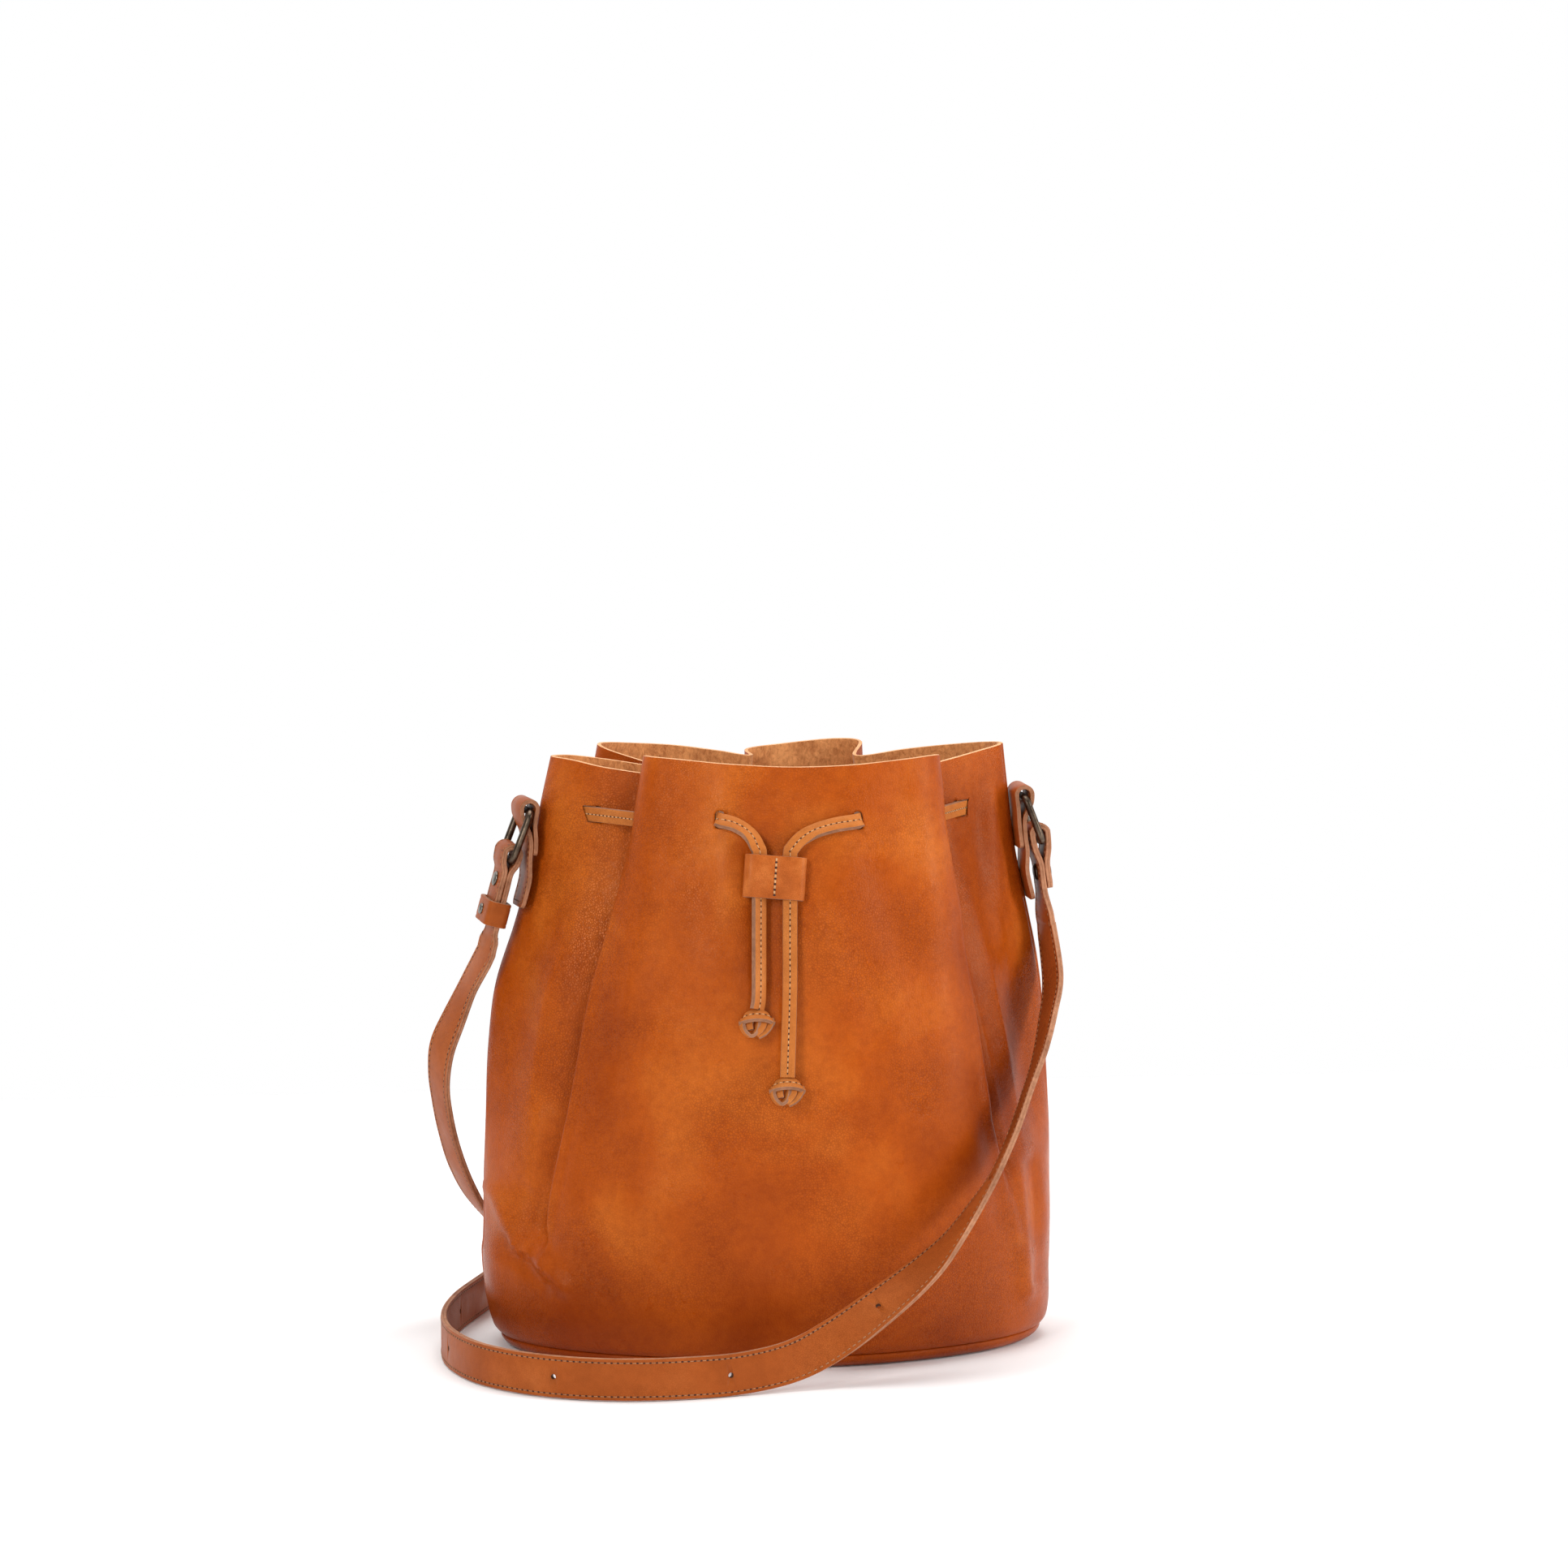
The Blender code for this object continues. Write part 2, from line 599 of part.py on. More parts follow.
# The strap between its two ends, as (place, direction of its width): down the left side, behind
# the bag, a turn on the surface, round the left and front on its edge, and up the right side.
STRAP_ROUTE = (
    ((-0.1483, 0.015, 0.1780), (-0.25, 0.95, 0.12)),
    ((-0.1560, 0.017, 0.1605), (-0.38, 0.90, 0.15)),
    ((-0.1618, 0.021, 0.1451), (-0.44, 0.88, 0.20)),
    ((-0.1632, 0.026, 0.1300), (-0.38, 0.88, 0.25)),
    ((-0.1615, 0.033, 0.1150), (-0.37, 0.88, 0.28)),
    ((-0.1575, 0.043, 0.0960), (-0.40, 0.84, 0.30)),
    ((-0.1510, 0.052, 0.0760), (-0.46, 0.78, 0.32)),
    ((-0.1407, 0.062, 0.0561), (-0.50, 0.68, 0.48)),
    ((-0.1250, 0.078, 0.0350), (-0.36, 0.45, 0.80)),
    ((-0.1040, 0.093, 0.0190), (-0.14, 0.18, 0.97)),
    ((-0.0800, 0.103, 0.0120), (0.00, 0.00, 1.00)),
    ((-0.0590, 0.110, 0.0106), (0.00, 0.00, 1.00)),
    ((-0.0460, 0.123, 0.0106), (0.00, 0.00, 1.00)),
    ((-0.0500, 0.139, 0.0106), (0.00, 0.00, 1.00)),
    ((-0.0680, 0.147, 0.0106), (0.00, 0.00, 1.00)),
    ((-0.0920, 0.143, 0.0106), (0.00, 0.00, 1.00)),
    ((-0.1130, 0.126, 0.0106), (0.00, 0.00, 1.00)),
    ((-0.1290, 0.099, 0.0106), (0.00, 0.00, 1.00)),
    ((-0.1420, 0.066, 0.0106), (0.00, 0.00, 1.00)),
    ((-0.1560, 0.026, 0.0106), (0.00, 0.00, 1.00)),
    ((-0.1640, -0.014, 0.0106), (0.00, 0.00, 1.00)),
    ((-0.1635, -0.050, 0.0106), (0.00, 0.00, 1.00)),
    ((-0.1535, -0.083, 0.0106), (0.00, 0.00, 1.00)),
    ((-0.1355, -0.107, 0.0106), (0.00, 0.00, 1.00)),
    ((-0.1120, -0.123, 0.0106), (0.00, 0.00, 1.00)),
    ((-0.0860, -0.131, 0.0106), (0.00, 0.00, 1.00)),
    ((-0.0580, -0.131, 0.0106), (0.00, 0.00, 1.00)),
    ((-0.0300, -0.125, 0.0108), (0.00, 0.06, 1.00)),
    ((-0.0040, -0.117, 0.0145), (-0.05, 0.20, 1.00)),
    ((0.0180, -0.110, 0.0238), (-0.20, 0.45, 0.80)),
    ((0.0420, -0.105, 0.0395), (-0.33, 0.70, 0.60)),
    ((0.0615, -0.100, 0.0540), (-0.33, 0.85, 0.30)),
    ((0.0755, -0.095, 0.0673), (-0.25, 0.93, -0.05)),
    ((0.0890, -0.087, 0.0834), (-0.20, 0.88, -0.30)),
    ((0.0998, -0.077, 0.0969), (-0.16, 0.82, -0.50)),
    ((0.1086, -0.066, 0.1107), (-0.16, 0.80, -0.55)),
    ((0.1180, -0.051, 0.1277), (-0.16, 0.79, -0.58)),
    ((0.1283, -0.030, 0.1440), (-0.18, 0.82, -0.52)),
    ((0.1350, -0.014, 0.1600), (-0.22, 0.87, -0.42)),
    ((0.1393, -0.003, 0.1775), (-0.25, 0.93, -0.27)),
)
STRAP_STATIONS = 96
STRAP_JOIN = 0.0012


def strap_run(collection):
    """The long stretch of strap, from just below the left end to just below the right one."""
    start = LEFT_END.point(LEFT_END_LENGTH + STRAP_JOIN, -STACK)
    end = RIGHT_END.point(RIGHT_END_LENGTH + STRAP_JOIN, -STACK)
    lead_in = start + LEFT_END.down * 0.006
    lead_out = end + RIGHT_END.down * 0.006
    places = [lead_in, *(Vector(p) for p, _ in STRAP_ROUTE), lead_out]
    widths = [LEFT_END.across, *(Vector(w) for _, w in STRAP_ROUTE), RIGHT_END.across]
    # A width's direction is scaled down here so that it hardly counts in the even spacing.
    joined = [Vector((*p, *(w * 0.01))) for p, w in zip(places, widths)]
    joined = smooth_line(joined, STRAP_STATIONS)
    line = [start, *(Vector(station[:3]) for station in joined), end]
    turns = [LEFT_END.across, *(Vector(station[3:]) for station in joined), RIGHT_END.across]
    ribbon("strap_run", line, turns, STRAP_WIDTH, STRAP_PLY, STRAP_TAN, collection)


def front_turn(x, height):
    """The place along the mouth's list where the front panel has this X."""
    low, high = -3.0, 3.0
    for _ in range(40):
        middle = 0.5 * (low + high)
        if body_point(middle, height).x < x:
            low = middle
        else:
            high = middle
    return low


def front_spot(x, height, out):
    """A point standing off the front panel's outer face."""
    turn = front_turn(x, height)
    return body_point(turn, height) + body_normal(turn, height) * out


LACE_OUT = GAP + LACE_PLY * 0.5
SLEEVE_OUT = SLEEVE_DEPTH * 0.5 + 0.0012
SLEEVE_TRAVEL = 0.045
# Each arm of the lace falls from its slot to the sleeve along a quarter of an ellipse: the angle
# round it and how far the lace stands off the leather there.
ARM_DROP = LACE_HEIGHT - SLEEVE_CENTRE.z - SLEEVE_HEIGHT * 0.5
ARM_STEPS = ((6.0, 0.0016), (22.0, 0.0016), (40.0, 0.0018), (58.0, 0.0024), (76.0, 0.0030))
KNOT_TOPS = {"left": 0.1770, "right": 0.1450}
KNOT_WIDTH, KNOT_DEPTH, KNOT_HEIGHT = 0.0175, 0.0090, 0.0160


class Sleeve:
    """The lace sleeve's frame: its centre, down along the tails, across, and out."""

    def __init__(self):
        high = front_spot(SLEEVE_CENTRE.x, 0.250, SLEEVE_OUT)
        low = front_spot(SLEEVE_CENTRE.x - 0.0014, 0.190, SLEEVE_OUT)
        self.down = (low - high).normalized()
        self.across = Vector((1.0, 0.0, 0.0)) - self.down * self.down.x
        self.across.normalize()
        self.out = self.down.cross(self.across).normalized()
        self.centre = high + self.down * ((0.250 - SLEEVE_CENTRE.z) / -self.down.z)

    def point(self, across, down):
        return self.centre + self.across * across + self.down * down


SLEEVE = Sleeve()


def cord_slide(collection):
    """A folded leather sleeve, stitched down its middle into two channels."""
    room = (LACE_WIDTH + 0.0012, LACE_PLY + 0.0008)
    outlines = [rounded_box(SLEEVE_WIDTH, SLEEVE_DEPTH, 0.0026)]
    for side in (-1, 1):
        outlines.append(rounded_box(*room, 0.0008, centre=side * LACE_SPACING * 0.5))
    across, out = SLEEVE.across, SLEEVE.out
    return tube("cord_slide", outlines, SLEEVE_HEIGHT, SLEEVE.centre, across, out, LACE_TAN, collection)


def lace_tail(name, sign, collection):
    """Out of a front slot, flat along the panel, through the sleeve and down to the knot."""
    slot = sign * FRONT_SLOT
    channel = sign * LACE_SPACING * 0.5
    top = -SLEEVE_HEIGHT * 0.5
    knot_down = (SLEEVE_CENTRE.z - KNOT_TOPS[name]) / -SLEEVE.down.z
    straight = SLEEVE_HEIGHT * 0.5 + SLEEVE_TRAVEL
    places = [
        front_spot(slot, LACE_HEIGHT, -0.0046),
        front_spot(slot, LACE_HEIGHT, 0.0004),
        *(
            front_spot(
                slot + (SLEEVE_CENTRE.x + channel - slot) * math.sin(math.radians(a)),
                LACE_HEIGHT - ARM_DROP * (1.0 - math.cos(math.radians(a))),
                LACE_OUT + rise,
            )
            for a, rise in ARM_STEPS
        ),
        SLEEVE.point(channel, top - 0.0012),
        SLEEVE.point(channel, 0.0),
        SLEEVE.point(channel, straight * 0.5),
        SLEEVE.point(channel, min(straight, knot_down - 0.006)),
    ]
    end = SLEEVE.point(channel - 0.0008, knot_down - GAP)
    end.y = max(end.y, SLEEVE.point(0.0, knot_down).y + 0.0015 * (sign > 0))
    places.append(end)
    line = smooth_line(places, 34)
    widths = []
    for i, spot in enumerate(line):
        tangent = (line[min(i + 1, 33)] - line[max(i - 1, 0)]).normalized()
        flat = SLEEVE.out.cross(tangent)
        upright = Vector((0.0, 0.0, -sign))
        share = smooth_step(0.20, 0.60, flat.length)
        widths.append(upright.lerp(flat, share))
    ribbon(f"drawstring_{name}", line, widths, LACE_WIDTH, LACE_PLY, LACE_TAN, collection)
    return line[-1]


def knot(name, top, collection):
    """The knotted end of the lace, as one rounded solid just below the tail."""
    mesh_builder = bmesh.new()
    bmesh.ops.create_uvsphere(mesh_builder, u_segments=14, v_segments=9, radius=0.5)
    centre = top + Vector((0.0, 0.0, -KNOT_HEIGHT * 0.5 - GAP))
    for vert in mesh_builder.verts:
        size = Vector((KNOT_WIDTH, KNOT_DEPTH, KNOT_HEIGHT))
        vert.co = centre + Vector(a * b for a, b in zip(vert.co, size))
    finish_mesh(f"knot_{name}", mesh_builder, LACE_TAN, collection)


# Where the lace runs inside the bag, in degrees round it; between these it crosses a pleat outside.
LACE_INSIDE = ((24.5, 43.0), (75.0, 127.0), (156.0, 174.0), (199.0, 224.0), (255.0, 284.0), (317.0, 333.5))
LACE_DEPTH = LEATHER + GAP + LACE_PLY * 0.5 + 0.0008


def drawstring_run(collection, guides):
    """The threaded lace, from one front slot round the whole mouth to the other."""
    places = []
    for first, last in LACE_INSIDE:
        steps = max(2, round((last - first) / 7.0))
        for i in range(steps + 1):
            turn = turn_at(first + (last - first) * i / steps)
            spot = inner_point(turn, LACE_HEIGHT, LACE_DEPTH)
            places.append(Vector((spot.x, spot.y, LACE_HEIGHT)))
    line = smooth_line(places, 110)
    upright = [Vector((0.0, 0.0, 1.0))] * len(line)
    ribbon("drawstring_run", line, upright, LACE_WIDTH, LACE_PLY, LACE_TAN, collection)
    room = 0.0009
    slots = ribbon("lace_slots", line, upright, LACE_WIDTH + room, LACE_PLY + room, LACE_TAN, guides)
    return make_guide(slots)


def front_slot(sign, collection):
    place = front_spot(sign * FRONT_SLOT, LACE_HEIGHT, 0.0)
    normal = body_normal(front_turn(sign * FRONT_SLOT, LACE_HEIGHT), LACE_HEIGHT)
    across = normal.cross(Vector((0.0, 0.0, 1.0)))
    line = [place - normal * 0.006, place + normal * 0.006]
    name = "front_slot_left" if sign < 0 else "front_slot_right"
    upright = [Vector((0.0, 0.0, 1.0))] * 2
    slot = ribbon(name, line, upright, LACE_WIDTH + 0.0014, LACE_PLY + 0.0036, LACE_TAN, collection)
    slot.location = across * sign * 0.0003
    return make_guide(slot)


def main():
    remove_everything()
    bag = new_collection("bucket_bag")
    guides = new_collection("guides")
    count = len(MOUTH)
    right_seam, left_seam = turn_at(90.0), turn_at(270.0)
    trim = 0.02
    front = body_panel("body_front", left_seam - count + trim, right_seam - trim, bag)
    back = body_panel("body_back", right_seam + trim, left_seam - trim, bag)
    oval_loft(
        "base_panel",
        (
            (0.0118, 0.0000),
            (0.0068, 0.0007),
            (0.0036, 0.0024),
            (0.0016, 0.0046),
            (0.0008, SEAM_HEIGHT),
            (0.0030, SEAM_HEIGHT),
            (0.0052, 0.0046),
            (0.0080, 0.0032),
        ),
        LEATHER_TAN,
        bag,
    )
    stiffener = ((0.0100, 0.0032 + GAP), (0.0086, 0.0038 + GAP), (0.0086, 0.0055), (0.0092, 0.0059))
    oval_loft("base_stiffener", stiffener, BOARD_BROWN, bag)
    for side in (LEFT, RIGHT):
        tab(side, bag)
        ring(side, bag)
    strap_hardware(bag, guides)
    strap_run(bag)
    cord_slide(bag)
    knot("left", lace_tail("left", -1, bag), bag)
    knot("right", lace_tail("right", 1, bag), bag)
    slots = drawstring_run(bag, guides)
    for panel in (front, back):
        cut_out(panel, slots)
    for sign in (-1, 1):
        cut_out(front, front_slot(sign, guides))


main()
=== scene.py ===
"""Looks of the drawstring bucket bag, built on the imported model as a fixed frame.

Metres, +Z up. The origin is the centre of the base on the surface that the bag stands on, X runs
from tab to tab and -Y is the front. The leather's outline follows the same rules as the solids."""

import json
import math
from contextlib import contextmanager

import bmesh
import bpy
import numpy as np
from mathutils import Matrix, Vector, noise

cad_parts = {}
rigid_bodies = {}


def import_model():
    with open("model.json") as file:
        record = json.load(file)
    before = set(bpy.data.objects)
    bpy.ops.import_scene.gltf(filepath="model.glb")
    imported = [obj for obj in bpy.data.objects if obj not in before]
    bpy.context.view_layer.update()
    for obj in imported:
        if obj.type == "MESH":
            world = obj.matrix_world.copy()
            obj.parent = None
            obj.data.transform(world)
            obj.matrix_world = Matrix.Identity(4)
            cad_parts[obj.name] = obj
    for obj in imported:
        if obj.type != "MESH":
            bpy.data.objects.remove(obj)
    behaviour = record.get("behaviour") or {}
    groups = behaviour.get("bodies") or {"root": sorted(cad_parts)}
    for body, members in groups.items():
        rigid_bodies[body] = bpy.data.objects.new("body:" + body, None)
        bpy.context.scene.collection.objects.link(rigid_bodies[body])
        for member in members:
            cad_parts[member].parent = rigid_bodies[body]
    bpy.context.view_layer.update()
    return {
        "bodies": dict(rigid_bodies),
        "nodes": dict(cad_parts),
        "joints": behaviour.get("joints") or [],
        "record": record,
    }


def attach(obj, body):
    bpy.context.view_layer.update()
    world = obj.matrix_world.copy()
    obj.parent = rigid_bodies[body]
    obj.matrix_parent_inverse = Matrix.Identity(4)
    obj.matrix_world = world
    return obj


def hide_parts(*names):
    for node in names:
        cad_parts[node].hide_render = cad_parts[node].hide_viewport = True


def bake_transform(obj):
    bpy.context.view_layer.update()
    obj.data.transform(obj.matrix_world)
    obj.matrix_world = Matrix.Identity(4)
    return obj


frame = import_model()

# The bag body, as in its solids: height, then half width left and right, half depth front, back.
RIM_HEIGHT = 0.290
SEAM_HEIGHT = 0.0068
LEATHER = 0.0018
GAP = 0.0003
PROFILE = np.array((
    (0.000, 0.1330, 0.1330, 0.0765, 0.0760),
    (0.010, 0.1385, 0.1370, 0.0805, 0.0800),
    (0.036, 0.1430, 0.1378, 0.0850, 0.0840),
    (0.070, 0.1428, 0.1390, 0.0865, 0.0870),
    (0.114, 0.1415, 0.1398, 0.0860, 0.0870),
    (0.150, 0.1395, 0.1382, 0.0840, 0.0850),
    (0.178, 0.1355, 0.1355, 0.0815, 0.0830),
    (0.207, 0.1262, 0.1300, 0.0780, 0.0790),
    (0.240, 0.1175, 0.1225, 0.0720, 0.0740),
    (0.265, 0.1133, 0.1190, 0.0670, 0.0690),
    (0.290, 0.1078, 0.1160, 0.0625, 0.0655),
))
# The gathered mouth: angle round the base, x and y at the rim as shares of the half width and
# half depth, height above the nominal rim, and how deep in a pleat the point lies (0 to 1).
MOUTH = np.array((
    (0, 0.000, -1.000, 0.0008, 0),
    (18, 0.260, -0.970, 0.0012, 0),
    (36, 0.500, -0.830, 0.0028, 0),
    (44, 0.615, -0.715, 0.0037, 0),
    (50, 0.662, -0.580, 0.0030, 0.1),
    (55, 0.640, -0.440, -0.0005, 0.2),
    (60, 0.560, -0.330, -0.0050, 1),
    (66, 0.690, -0.180, -0.0030, 1),
    (76, 0.860, 0.010, 0.0005, 0),
    (90, 1.000, 0.200, 0.0035, 0),
    (102, 0.960, 0.430, 0.0030, 0),
    (118, 0.800, 0.640, 0.0005, 0),
    (134, 0.620, 0.720, -0.0020, 1),
    (145, 0.420, 0.740, -0.0050, 1),
    (151, 0.450, 0.920, 0.0010, 0),
    (160, 0.340, 1.000, 0.0020, 0),
    (172, 0.120, 0.980, 0.0000, 0),
    (181, -0.060, 0.900, -0.0020, 1),
    (186, -0.060, 0.720, -0.0040, 1),
    (192, -0.190, 0.780, -0.0020, 1),
    (202, -0.380, 0.920, 0.0000, 0),
    (214, -0.580, 0.900, 0.0015, 0),
    (224, -0.750, 0.720, 0.0030, 0),
    (231, -0.735, 0.560, 0.0010, 1),
    (237, -0.560, 0.440, -0.0050, 1),
    (242, -0.545, 0.340, -0.0060, 1),
    (250, -0.720, 0.350, -0.0030, 1),
    (260, -0.900, 0.340, -0.0005, 0),
    (270, -1.000, 0.200, 0.0000, 0),
    (282, -0.900, -0.030, -0.0010, 0),
    (292, -0.750, -0.180, -0.0040, 1),
    (300, -0.490, -0.320, -0.0070, 1),
    (305, -0.580, -0.440, -0.0005, 1),
    (310, -0.622, -0.580, 0.0042, 0.6),
    (316, -0.590, -0.710, 0.0046, 0),
    (324, -0.500, -0.800, 0.0041, 0),
    (342, -0.260, -0.960, 0.0023, 0),
))
PLEAT_START, PANEL_SET = 0.045, 0.200
# About how far round the body one step along MOUTH takes, next to a side seam.
SEAM_PER_TURN = 0.025
# Insets and heights round the tray that the base panel forms, and round the board inside it.
TRAY_RINGS = (
    (0.0128, 0.0), (0.0100, 0.00008), (0.0078, 0.0004), (0.0060, 0.0010), (0.0044, 0.0019),
    (0.0031, 0.0030), (0.0022, 0.0042), (0.0018, 0.0053), (0.0020, 0.0061), (0.0027, 0.0066),
    (0.0036, 0.0068), (0.0046, 0.0064), (0.0060, 0.0048), (0.0084, 0.0032),
)
BOARD_RINGS = ((0.0102, 0.0036), (0.0092, 0.0041), (0.0092, 0.0053), (0.0098, 0.0058))

# Soft folds and dents of the leather, seen from the front (y below 0) or the back: from (x, z)
# to (x, z), half width, and how far the leather stands out (or in, below 0).
FRONT_FOLDS = (
    (-0.1395, 0.0800, -0.1290, 0.0560, 0.0040, 0.0026),
    (-0.1290, 0.0560, -0.1080, 0.0400, 0.0046, 0.0034),
    (-0.1180, 0.1200, -0.1245, 0.0700, 0.0042, 0.0016),
    (-0.1260, 0.0820, -0.1180, 0.0600, 0.0042, -0.0030),
    (-0.1350, 0.0560, -0.1180, 0.0400, 0.0046, -0.0030),
    (-0.1400, 0.0480, -0.1385, 0.0260, 0.0040, 0.0014),
    (-0.0320, 0.2900, -0.0290, 0.2200, 0.0090, 0.0014),
    (-0.0150, 0.2600, -0.0130, 0.1950, 0.0085, -0.0024),
    (0.0400, 0.2480, 0.0520, 0.2080, 0.0110, -0.0022),
    (0.0140, 0.2230, 0.0300, 0.1750, 0.0090, 0.0018),
    (0.0310, 0.1950, 0.0420, 0.1500, 0.0085, -0.0014),
    (0.0660, 0.2800, 0.0760, 0.2200, 0.0090, 0.0012),
    (0.1150, 0.0900, 0.1215, 0.0280, 0.0050, 0.0024),
    (0.1260, 0.0900, 0.1290, 0.0350, 0.0045, -0.0020),
    (0.0980, 0.1150, 0.1060, 0.0700, 0.0060, -0.0014),
    (-0.0600, 0.0800, -0.0200, 0.0600, 0.0200, 0.0016),
    (-0.0800, 0.1500, -0.0880, 0.0900, 0.0130, -0.0014),
)
BACK_FOLDS = (
    (-0.1100, 0.0900, -0.1180, 0.0450, 0.0060, 0.0018),
    (-0.0500, 0.1500, -0.0650, 0.0800, 0.0110, 0.0014),
    (0.0150, 0.1700, 0.0050, 0.0900, 0.0110, -0.0015),
    (0.0900, 0.1200, 0.1050, 0.0600, 0.0070, 0.0016),
    (0.0600, 0.0750, 0.0900, 0.0400, 0.0080, -0.0016),
)

# The front panel's two fold lines: side, height where each starts, its place along MOUTH at the
# top, how far that drifts on the way down, the heights it drifts between, and how far it stands out.
FOLD_LINES = (
    (-1, 0.030, -4.6, -0.7, 0.06, 0.15, 0.0026),
    (1, 0.060, 3.85, 0.8, 0.08, 0.125, 0.0018),
)
CREST_WIDTH, GROOVE_PLACE, GROOVE_WIDTH, GROOVE_DEPTH = 0.34, 0.95, 0.50, 0.0052
WAVE_HEIGHT, SHOULDER_HEIGHT = 0.0013, 0.0042

# Painted highlights (above 0) and painted shade (below 0) on the front, and lighter or darker places at the
# back, laid out like the folds.
FRONT_PAINTED_LIGHT = (
    (0.098, 0.262, 0.106, 0.110, 0.0190, -1.2),
    (-0.0310, 0.2900, -0.0280, 0.2350, 0.0120, 0.9),
    (-0.0170, 0.2720, -0.0140, 0.1950, 0.0100, -0.7),
    (0.0060, 0.2050, 0.0200, 0.1400, 0.0170, 0.7),
    (0.0380, 0.2440, 0.0560, 0.2050, 0.0130, -0.6),
    (0.0640, 0.2900, 0.0780, 0.2150, 0.0100, 0.5),
    (-0.0620, 0.2800, -0.0900, 0.1300, 0.0120, -0.6),
    (-0.0500, 0.1100, -0.0750, 0.0700, 0.0180, 0.45),
    (0.0000, 0.0600, 0.0900, 0.0400, 0.0350, -0.7),
    (0.0900, 0.2000, 0.1120, 0.1200, 0.0070, -0.3),
    (-0.1000, 0.2700, -0.1150, 0.2200, 0.0140, 0.3),
)
BACK_TONES = (
    (-0.0600, 0.2200, -0.0500, 0.1500, 0.0250, 0.6),
    (0.0500, 0.1200, 0.0700, 0.0700, 0.0300, 0.5),
    (0.0000, 0.2500, 0.0100, 0.1600, 0.0150, -0.6),
)

# Hardware, as in the solids.
TAB_WIDTH, TAB_PLY, TAB_LOOP_RADIUS = 0.0210, 0.0022, 0.0028
TAB_SHORT_END, TAB_LONG_END = 0.2425, 0.2170
WIRE, RING_WIDTH, RING_CORNER = 0.0036, 0.0262, 0.0045
RING_LEAN, TOP_BAR_DROP = math.radians(21.5), 0.0012
STRAP_WIDTH, STRAP_PLY = 0.0200, 0.0028
HALF_PLY = STRAP_PLY / 2
STACK = HALF_PLY + GAP / 2
FOLD_RADIUS = 0.0024 + HALF_PLY
STUD_FLAT = 0.0046
# How far each strap end's long ply turns, and the length that the turn takes.
END_TURN = {"left": (math.radians(9.0), 0.0060), "right": (math.radians(-10.0), 0.0140)}
KEEPER_START, KEEPER_HEIGHT, KEEPER_WALL, KEEPER_ROOM = 0.0240, 0.0120, 0.0022, 0.0072
LACE_WIDTH, LACE_PLY, LACE_HEIGHT = 0.0070, 0.0030, 0.2640
HALF_LACE = LACE_PLY / 2
FRONT_SLOT = 0.0335
SLEEVE_HEIGHT, SLEEVE_DEPTH = 0.0205, 0.0072
SLEEVE_X, SLEEVE_Z = -0.0080, 0.2390
SLEEVE_OUT, SLEEVE_TILT = SLEEVE_DEPTH / 2 + 0.0012, math.radians(3.6)
SLEEVE_TRAVEL = 0.045
LACE_SPACING = 0.0148
# The lace's arms fall from slot to sleeve in quarter ellipses: (angle round, stand-off).
ARM_DROP = LACE_HEIGHT - SLEEVE_Z - SLEEVE_HEIGHT / 2
ARM_STEPS = ((6, 0.0016), (22, 0.0016), (40, 0.0018), (58, 0.0024), (76, 0.0030))
# How far each tail's face turns, in degrees, against the distance along it.
TAIL_TWISTS = {
    "left": ((0.0, 0.0), (0.007, -30.0), (0.022, -34.0), (0.030, -10.0), (0.046, -10.0),
             (0.056, -34.0), (0.2, -36.0)),
    "right": ((0.0, 0.0), (0.007, 26.0), (0.030, 32.0), (0.038, 5.0), (0.056, 6.0), (0.2, 10.0)),
}
KNOT_TOPS = {"left": 0.1770, "right": 0.1450}
KNOT_ANGLES = np.radians(np.linspace(-150, 150, 61))
KNOT_BAND_WIDTH, KNOT_BAND_PLY = 0.0064, 0.0024
# Stretches of the mouth, in degrees round it, where the lace runs behind the leather.
LACE_INSIDE = ((24.5, 43), (75, 127), (156, 174), (199, 224), (255, 284), (317, 333.5))
LACE_DEPTH = LEATHER + GAP + HALF_LACE + 0.0008
WAY_ROOM, SLOT_ROOM = 0.0010, 0.0016

